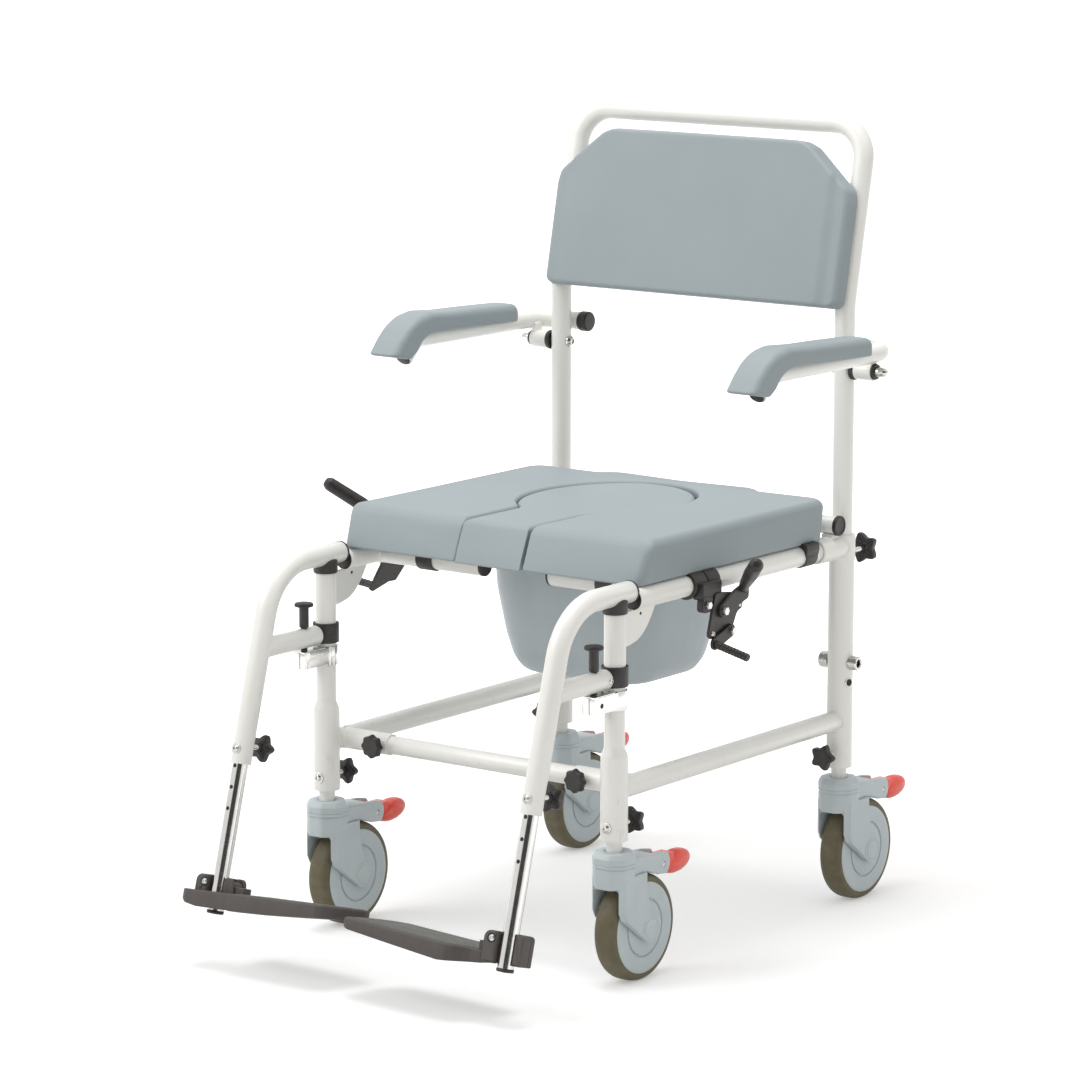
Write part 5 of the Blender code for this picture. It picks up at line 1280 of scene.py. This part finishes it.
for side, sign in sides_of_chair:
    band = rounded([(0.0129, 0.3235), (0.0148, 0.3235), (0.0148, 0.3460), (0.0129, 0.3460)], 0.0004, 2, closed=True)
    strap = rounded([(frame_x + 0.0115, -0.1880), (frame_x + 0.0115, -0.2385), (frame_x - 0.0115, -0.2385),
                     (frame_x - 0.0115, -0.1880)], (0, 0.0110, 0.0110, 0), 8)
    inner_strap = rounded([(frame_x + 0.0097, -0.1880), (frame_x + 0.0097, -0.2367), (frame_x - 0.0097, -0.2367),
                           (frame_x - 0.0097, -0.1880)], (0, 0.0094, 0.0094, 0), 8)
    bracket = [
        turned(band, (frame_x, front_y, 0), (0, 0, 1), ends="ring"),
        plate(np.concatenate([strap, inner_strap[::-1]]), 0.3255, 0.3450, top_view, 0.0002),
    ]
    hole = arc_points((-0.2245, 0.0), 0.0044, 0, 360, 24)[:-1]
    lie = (np.array((frame_x, 0, 0)), np.array(((0.0, 1.0, 0.0), (1.0, 0.0, 0.0), (0.0, 0.0, 1.0))))
    square = np.stack([np.clip(-0.2245 + (hole[:, 0] + 0.2245) * 8, -0.2372, -0.1975),
                       np.clip(hole[:, 1] * 8, -0.0106, 0.0106)], -1)
    rings = [(square, 0.3442), (square, 0.3460), (hole, 0.3460), (hole, 0.3442)]
    origin, axes = lie
    bracket.append(shell([origin + flat @ axes[:2] + level_at * axes[2] for flat, level_at in rings], "ring"))
    piece(f"latch_bracket_{side}", mirrored(bracket, sign), bright, "frame", f"latch_bracket_{side}")
    # A dark disc of painted shade on the leg stands in for the shade seen through the tongue's hole.
    shade = [turned([(0, 0), (0.0030, 0), (0.0030, 0.0002), (0, 0.0002)], (frame_x + 0.0114, -0.2245, 0.3350),
                    (1, 0, 0), 24)]
    piece(f"latch_hole_shade_{side}", mirrored(shade, sign), hole_shade_paint, "frame")
    plunger = rounded([(0.0, 0.3466), (0.0038, 0.3466), (0.0038, 0.3735), (0.00575, 0.3735), (0.00575, 0.3980),
                       (0.0110, 0.3984), (0.0115, 0.4000), (0.0108, 0.4026), (0.0, 0.4035)],
                      (0, 0.0004, 0.0002, 0.0004, 0.0008, 0.0006, 0.001, 0.002, 0), 3)
    piece(f"latch_plunger_{side}", mirrored([turned(plunger, (frame_x, -0.2245, 0), (0, 0, 1))], sign), black,
          f"plunger_{side}", f"latch_plunger_{side}")


# Footrest tubes. A chromed tube with a row of holes slides in each hanger and is closed by a black cap below.

for side, sign in sides_of_chair:
    tube_line = [(frame_x, hanger_y(z), z) for z in (0.2950, 0.2930, 0.0660, 0.0640)]
    piece(f"footrest_tube_{side}", mirrored([drawn(tube_line, 0.0095, (1, 0, 0), 40)], sign), bright,
          f"footrest_{side}", f"footrest_tube_{side}")
    end_plug = rounded([(0, -0.0020), (0.0098, -0.0020), (0.0102, 0.0004), (0.0096, 0.0022), (0, 0.0030)],
                       (0, 0.0003, 0.0010, 0.0010, 0), 3)
    piece(f"footrest_tube_cap_{side}", mirrored([turned(end_plug, tube_line[-1], slope_way, 36)], sign), black,
          f"footrest_{side}")
    front_way = unit((0.0, -1.0, hanger_slope))
    # Dark dished discs of painted shade stand in for the shade inside three of the tube's holes.
    shade = []
    for step in range(3):
        z = 0.1800 + 0.0250 * cos(atan(hanger_slope)) * step
        spot = np.array((frame_x, hanger_y(z), z)) + 0.0090 * front_way
        angle = 2 * pi * np.arange(24)[:, None] / 24
        ring = 0.0024 * (np.cos(angle) * (1, 0, 0) + np.sin(angle) * slope_way)
        bulge = np.sqrt(0.00955 ** 2 - ring[:, :1] ** 2) - 0.0090
        shade.append(shell([spot + ring - 0.0010 * front_way, spot + ring + bulge * front_way,
                            spot + 0.55 * ring + (np.sqrt(0.00955 ** 2 - (0.55 * ring[:, :1]) ** 2) - 0.0090) * front_way,
                            spot + 0.02 * ring + 0.00055 * front_way]))
    piece(f"footrest_tube_hole_shade_{side}", mirrored(shade, sign), hole_shade_paint, f"footrest_{side}")


# Footplates. Each is a grey-black moulded tread hinged to a clamp block on the chrome tube. The same right-hand
# moulding style is used on both sides, and each tread has a ribbed rubber-like inlay in a plain rim.

def footplate_plastic():
    """Charcoal glass-filled nylon: matt, slightly brown, with a sparkled grain and pale scuffs."""
    plastic = Finish("footplate_plastic", "footplate_plastic", (83, 77, 74), 0.55)
    cloud = plastic.noise(55.0, 3.0)
    scuff = plastic.noise(220.0, 4.0).between(0.62, 0.80)
    base = plastic.blend(cloud.between(0.35, 0.70), linear(79, 73, 70), linear(86, 80, 77))
    plastic.tint(plastic.blend(scuff * 0.15, base, linear(120, 113, 107)))
    plastic.gloss(0.52 + cloud * 0.14)
    plastic.relief(plastic.noise(1500.0, 2.0), 0.00014, 0.35)
    return plastic


def tread_inlay():
    """The tread's textured face: greenish grey with small raised grains."""
    face = Finish("tread_inlay", "footplate_plastic", (104, 106, 98), 0.62)
    grains = face.cells(420.0)
    cloud = face.noise(40.0, 3.0)
    base = face.blend(cloud.between(0.35, 0.70), linear(92, 94, 87), linear(110, 112, 104))
    face.tint(face.blend(grains.between(0.2, 0.8), base, linear(76, 77, 71)))
    face.gloss(0.55 + grains * 0.12)
    face.relief(1.0 - grains, 0.00030, 0.45)
    return face


charcoal = footplate_plastic()
inlay = tread_inlay()
hub_z, hinge_in, hinge_up = 0.088, 0.0188, 0.0065


def foot_place(sign, pitch):
    """Origin on the chrome tube at the block's height; the three axes are inward, forward and up."""
    axes = np.array(((-sign, 0.0, 0.0), (0.0, -cos(pitch), sin(pitch)), (0.0, sin(pitch), cos(pitch))))
    return np.array((sign * frame_x, hanger_y(hub_z), hub_z)), axes


def in_place(points, place):
    origin, axes = place
    return origin + np.asarray(points, float) @ axes


def drawn_in(outline, core, distance):
    """Each point moved that distance straight towards its own point of the core line."""
    return outline + unit(core - outline) * distance


def slab(outline, top, rise, edge, core, place):
    """A tread: at each outline point (inward, forward, thickness) the top is top + rise * inward. Rings run
    from a core line under it, out to the edge, up the side, round the top edge and in over the top."""
    outline = np.asarray(outline, float)
    flat, thick = outline[:, :2], outline[:, 2:]
    quarter = np.radians(np.linspace(0, 90, 6))
    rows = [(core, thick), (drawn_in(flat, core, 0.0060), thick), (drawn_in(flat, core, 0.0016), thick),
            (inset(flat, 0.0005), thick - 0.0004), (flat, thick - 0.0016)]
    rows += [(inset(flat, edge * (1 - sin(turn))), edge * (1 - cos(turn)) + 0 * thick) for turn in quarter[::-1]]
    rows += [(drawn_in(inset(flat, edge), core, edge), 0 * thick)]
    rings = [in_place(np.column_stack([spot, top + rise * spot[:, 0] - drop[:, 0]]), place) for spot, drop in rows]
    return shell(rings)


tread_outlines = {
    "right": [
        (0.0290, 0.0100, 0.0140), (0.0440, 0.0105, 0.0160), (0.0520, 0.0150, 0.0170), (0.0600, 0.0235, 0.0180),
        (0.0680, 0.0275, 0.0190), (0.0780, 0.0280, 0.0200), (0.1400, 0.0240, 0.0170), (0.2150, 0.0190, 0.0130),
        (0.2225, 0.0150, 0.0110), (0.2240, 0.0060, 0.0105), (0.2210, -0.0100, 0.0110), (0.2135, -0.0320, 0.0115),
        (0.2020, -0.0500, 0.0120), (0.1850, -0.0615, 0.0130), (0.0900, -0.0580, 0.0170), (0.0340, -0.0545, 0.0150),
        (0.0290, -0.0480, 0.0140)],
    "left": [
        (0.0320, 0.0222, 0.0205), (0.0500, 0.0222, 0.0205), (0.1100, 0.0222, 0.0180), (0.1600, 0.0215, 0.0150),
        (0.1680, 0.0180, 0.0145), (0.1900, -0.0330, 0.0125), (0.1895, -0.0430, 0.0120), (0.1800, -0.0520, 0.0125),
        (0.1650, -0.0560, 0.0130), (0.0900, -0.0590, 0.0170), (0.0400, -0.0580, 0.0150), (0.0318, -0.0500, 0.0140)]}
left_wall = [(-0.0380, 0.0128, 0.0115), (-0.0370, 0.0188, 0.0125), (-0.0310, 0.0216, 0.0165),
             (-0.0150, 0.0218, 0.0192), (0.0400, 0.0218, 0.0195), (0.0400, 0.0128, 0.0195)]
tread_pitch = {"right": radians(12.6), "left": radians(15.6)}
tread_rise = {"right": 0.041, "left": 0.050}
tread_top = {"right": -0.0145, "left": -0.0070}
strap_top = {"right": -0.0035, "left": 0.0010}
block_left = {"right": -0.0276, "left": -0.0268}
tread_radii = {"right": (0.002, 0.012, 0.012, 0.012, 0.012, 0.02, 0.05, 0.008, 0.008, 0.012, 0.02, 0.02, 0.02, 0.012,
                         0.05, 0.004, 0.004),
               "left": (0.003, 0.02, 0.05, 0.008, 0.010, 0.012, 0.008, 0.010, 0.02, 0.05, 0.008, 0.008)}

for side, sign in sides_of_chair:
    block_place = foot_place(sign, atan(hanger_slope))
    hinge_origin = in_place((hinge_in, 0.0, hinge_up), block_place)
    hinge_place = (hinge_origin, foot_place(sign, tread_pitch[side])[1])
    origin, axes = block_place
    up_front = (origin, np.array(((1.0, 0.0, 0.0), axes[2], axes[1])))
    left_end = block_left[side]
    lug = rounded([(left_end, -0.0195), (-0.0098, -0.0195), (-0.0098, 0.0165), (left_end, 0.0165)],
                  (0.0015, 0.0006, 0.0010, 0.0090), 6, closed=True)
    back = rounded([(left_end, -0.0190), (0.0200, -0.0190), (0.0200, 0.0160), (left_end, 0.0160)],
                   (0.0015, 0.0015, 0.0050, 0.0090), 6, closed=True)
    hub = [plate(back, -0.0098, -0.0126, up_front, 0.0006, 0.0003)]
    if side == "right":
        hub += [
            plate(lug, 0.0050, 0.0122, up_front, 0.0016, 0.0003),
            block_in_place((-0.0117, -0.0190, -0.0110), (-0.0098, 0.0150, 0.0060), up_front),
            plate(back, -0.0128, -0.0200, up_front, 0.0012, 0.0003),
        ]
        lobe = rounded([(0.0098, -0.0190), (0.0202, -0.0190), (0.0202, 0.0160), (0.0098, 0.0160)],
                       (0.0006, 0.0015, 0.0050, 0.0015), 6, closed=True)
        hub.append(plate(lobe, -0.0110, 0.0042, up_front, 0.0014, 0.0003))
    else:
        ear = rounded([(0.0098, -0.0195), (0.0300, -0.0195), (0.0232, 0.0165), (0.0098, 0.0165)],
                      (0.0006, 0.0015, 0.0060, 0.0060), 6, closed=True)
        hub += [
            plate(lug, -0.0110, 0.0122, up_front, 0.0016, 0.0003),
            plate(ear, 0.0036, 0.0062, up_front, 0.0010, 0.0003),
            plate(ear, -0.0128, -0.0190, up_front, 0.0010, 0.0003),
            block_in_place((0.0098, -0.0190, -0.0130), (0.0112, 0.0150, 0.0050), up_front),
        ]
    piece(f"footplate_hub_{side}", hub, charcoal, f"footrest_{side}", f"footplate_hub_{side}")
    bolt_x, bolt_up = {"right": (-0.0170, 0.0080), "left": (-0.0140, 0.0077)}[side]
    # A dark disc of painted shade stands in for the shade in the screw recess of the hub.
    recess = [turned([(0, 0), (0.0054, 0), (0.0054, 0.0002), (0, 0.0002)],
                     in_place((bolt_x, bolt_up, 0.0122), up_front), axes[1], 32)]
    piece(f"footplate_recess_shade_{side}", recess, hole_shade_paint, f"footrest_{side}")
    bolts = [button_head(in_place((bolt_x + 0.0006, bolt_up, 0.0124), up_front), axes[1], 0.0038, 0.0014),
             turned([(0, 0), (0.0030, 0), (0.0030, 0.0200), (0, 0.0200)],
                    in_place((0, -0.0160, 0), hinge_place), hinge_place[1][1], 20)]
    piece(f"footplate_bolts_{side}", bolts, plated, f"footrest_{side}")

    outline = np.array(tread_outlines[side]) - (hinge_in, 0, 0)
    outline = rounded(outline, tread_radii[side], 5, closed=True)
    core = np.stack([np.clip(outline[:, 0], 0.040, 0.150), np.full(len(outline), -0.020)], -1)
    tread = [slab(outline, tread_top[side], tread_rise[side], 0.0022, core, hinge_place)]
    if side == "left":
        wall = np.array(left_wall) - (hinge_in, 0, 0)
        wall = rounded(wall, (0.002, 0.003, 0.006, 0.006, 0.0, 0.0), 5, closed=True)
        wall_core = np.stack([np.clip(wall[:, 0], -0.045, 0.015), np.full(len(wall), 0.0168)], -1)
        tread.append(slab(wall, tread_top[side] - 0.0004, tread_rise[side], 0.0018, wall_core, hinge_place))
    knuckle = rounded([(0.0034, 0.0), (0.0062, 0.0), (0.0062, 0.0144), (0.0034, 0.0144)], 0.0004, 3, closed=True)
    tread.append(turned(knuckle, in_place((0, -0.0112, 0), hinge_place), hinge_place[1][1], 36, ends="ring"))
    hinge_across = (hinge_place[0], hinge_place[1][[0, 2, 1]])
    tread.append(block_in_place((0.0060, -0.0200, -0.0112), (0.0200, strap_top[side], 0.0032), hinge_across))
    piece(f"footplate_{side}", tread, charcoal, f"tread_{side}", f"footplate_{side}", crease=45.0)

    corners = inset(np.array(tread_outlines[side])[:, :2] - (hinge_in, 0), 0.0055)
    keep = rounded(corners, np.maximum(np.array(tread_radii[side]) - 0.0055, 0.0030), 5, closed=True)
    face_core = np.stack([np.clip(keep[:, 0], 0.050, 0.140), np.full(len(keep), -0.018)], -1)
    levels = [(face_core, -0.0004), (keep, -0.0004), (keep, 0.0002), (inset(keep, 0.0004), 0.0005),
              (drawn_in(keep, face_core, 0.0014), 0.0006), (face_core, 0.0006)]
    rings = [in_place(np.column_stack([spot, tread_top[side] + tread_rise[side] * spot[:, 0] + level_at]), hinge_place)
             for spot, level_at in levels]
    points, quads, _ = shell(rings)
    piece(f"tread_face_{side}", [(points, quads, [])], inlay, f"tread_{side}", crease=45.0)


# Brakes. A black clamp on each seat rail carries a plate with two pivots: a bent lever with a grip, and a short
# arm whose peg presses on a large wheel when one is fitted. Zinc bolts and nuts hold them.

def brake_place(side, sign):
    """Axes front to rear, up and outward, turned round the seat rail and slid along it."""
    turn = {"right": 0.0, "left": radians(20)}[side]
    slide = {"right": 0.0, "left": -0.009}[side]
    out = np.array((sign * cos(turn), 0.0, sin(turn)))
    up = np.array((-sign * sin(turn), 0.0, cos(turn)))
    centre = np.array((sign * frame_x, slide, rail_z))
    origin = centre - frame_x * out - rail_z * up
    return origin, np.array((np.array((0.0, 1.0, 0.0)), up, out))


for side, sign in sides_of_chair:
    spot = brake_place(side, sign)
    lever_pivot, arm_pivot = (-0.0085, 0.4122), (0.0079, 0.3867)
    collar = rounded([(0.0129, -0.048), (0.0160, -0.048), (0.0165, -0.0465), (0.0165, -0.0250), (0.0152, -0.0240),
                      (0.0152, -0.0220), (0.0165, -0.0210), (0.0165, 0.0015), (0.0160, 0.003), (0.0129, 0.003)],
                     (0, 0.0004, 0.0006, 0.0004, 0.0004, 0.0004, 0.0004, 0.0006, 0.0004, 0), 3)
    pad = rounded([(-0.042, 0.4275), (-0.004, 0.4275), (-0.004, 0.4480), (-0.042, 0.4480)], 0.003, 4, closed=True)
    carrier = [(-0.0200, 0.4330), (-0.0340, 0.3860), (-0.0290, 0.3815), (0.0110, 0.3795), (0.0165, 0.3900),
               (0.0250, 0.4060), (0.0350, 0.4090), (0.0370, 0.4180), (0.0180, 0.4300), (-0.0100, 0.4340)]
    carrier = rounded(carrier, (0.006, 0.006, 0.006, 0.004, 0.01, 0.010, 0.004, 0.004, 0.02, 0.02), 4, closed=True)
    nut_ear = rounded([(-0.0440, 0.4130), (-0.0230, 0.4130), (-0.0200, 0.4300), (-0.0420, 0.4340)], 0.006, 4,
                      closed=True)
    clamp = [
        turned(collar, in_place((0.0, rail_z, frame_x), spot), (0, 1, 0), ends="ring"),
        plate(pad, 0.2180, 0.2325, spot, 0.0012),
        plate(carrier, 0.2310, 0.2345, spot, 0.0008),
        plate(nut_ear, 0.2240, 0.2330, spot, 0.0010),
    ]
    piece(f"brake_clamp_{side}", clamp, black, "frame", f"brake_clamp_{side}")

    lever = np.concatenate([arc_points(lever_pivot, 0.0080, 110, 290, 10),
                            [(0.0100, 0.4110), (0.0420, 0.4200), (0.0435, 0.4330), (0.0330, 0.4390),
                             (0.0140, 0.4330)]])
    lever = rounded(lever, (0,) * 11 + (0.01, 0.005, 0.005, 0.006, 0.02), 4, closed=True)
    tip = {"right": (-0.0630, 0.4842, 0.3200), "left": (-0.0405, 0.4715, 0.3371)}[side]
    base = np.array((0.0200, 0.4385, 0.2468))
    grip_way = unit(np.array(tip) - base)
    grip_long = float(np.linalg.norm(np.array(tip) - base))
    shaft = [(0.0360, 0.4320, 0.2360), (0.0150, 0.4400, 0.2500), base + grip_way * 0.02]
    levers = [
        plate(lever, 0.2349, 0.2389, spot, 0.0008),
        drawn(in_place(rounded(shaft, 0.008, 6), spot), 0.0058, spot[1][1], 24),
    ]
    grip = rounded([(0, 0), (0.0056, 0), (0.0064, 0.006), (0.0088, grip_long * 0.55), (0.0084, grip_long - 0.006),
                    (0.0050, grip_long), (0, grip_long)], (0, 0.001, 0.01, 0.04, 0.006, 0.004, 0), 5)
    levers.append(turned(grip, in_place(base, spot), grip_way @ spot[1], 40))
    piece(f"brake_lever_{side}", levers, black, f"lever_{side}", f"brake_lever_{side}")

    end = (-0.0240, 0.3760)
    heading = np.degrees(np.arctan2(end[1] - arm_pivot[1], end[0] - arm_pivot[0]))
    link = np.concatenate([arc_points(end, 0.0075, heading - 90, heading + 90, 10),
                           arc_points(arm_pivot, 0.0075, heading + 90, heading + 270, 10)])
    peg_from, peg_to = np.array((-0.0240, 0.3760, 0.2360)), np.array((-0.0270, 0.3655, 0.2850))
    peg_long = float(np.linalg.norm(peg_to - peg_from))
    ribs = [(0, 0), (0.0046, 0)]
    for rib in range(8):
        ribs += [(0.0048, peg_long * (0.22 + rib * 0.09)), (0.0042, peg_long * (0.25 + rib * 0.09)),
                 (0.0048, peg_long * (0.28 + rib * 0.09))]
    ribs += [(0.0047, peg_long - 0.001), (0.0040, peg_long), (0, peg_long)]
    arm = [plate(link, 0.2349, 0.2387, spot, 0.0008),
           turned(ribs, in_place(peg_from, spot), unit(peg_to - peg_from) @ spot[1], 32)]
    piece(f"brake_arm_{side}", arm, black, f"brake_link_{side}", f"brake_arm_{side}")
    out_way = spot[1][2]
    pivots = [
        turned([(0, 0), (0.0030, 0), (0.0030, 0.0056), (0, 0.0056)], in_place((*lever_pivot, 0.2344), spot), out_way, 20),
        turned([(0, 0), (0.0030, 0), (0.0030, 0.0056), (0, 0.0056)], in_place((*arm_pivot, 0.2344), spot), out_way, 20),
        hex_head(in_place((*lever_pivot, 0.2390), spot), out_way, 0.0095, 0.0042),
        hex_head(in_place((*arm_pivot, 0.2388), spot), out_way, 0.0088, 0.0040),
        hex_head(in_place((-0.0335, 0.4220, 0.2328), spot), out_way, 0.0085, 0.0040),
        button_head(in_place((0.0300, 0.4140, 0.2344), spot), out_way, 0.0034, 0.0020),
        button_head(in_place((-0.0250, 0.3870, 0.2344), spot), out_way, 0.0034, 0.0020),
    ]
    piece(f"brake_bolts_{side}", pivots, plated, "frame")

low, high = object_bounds()
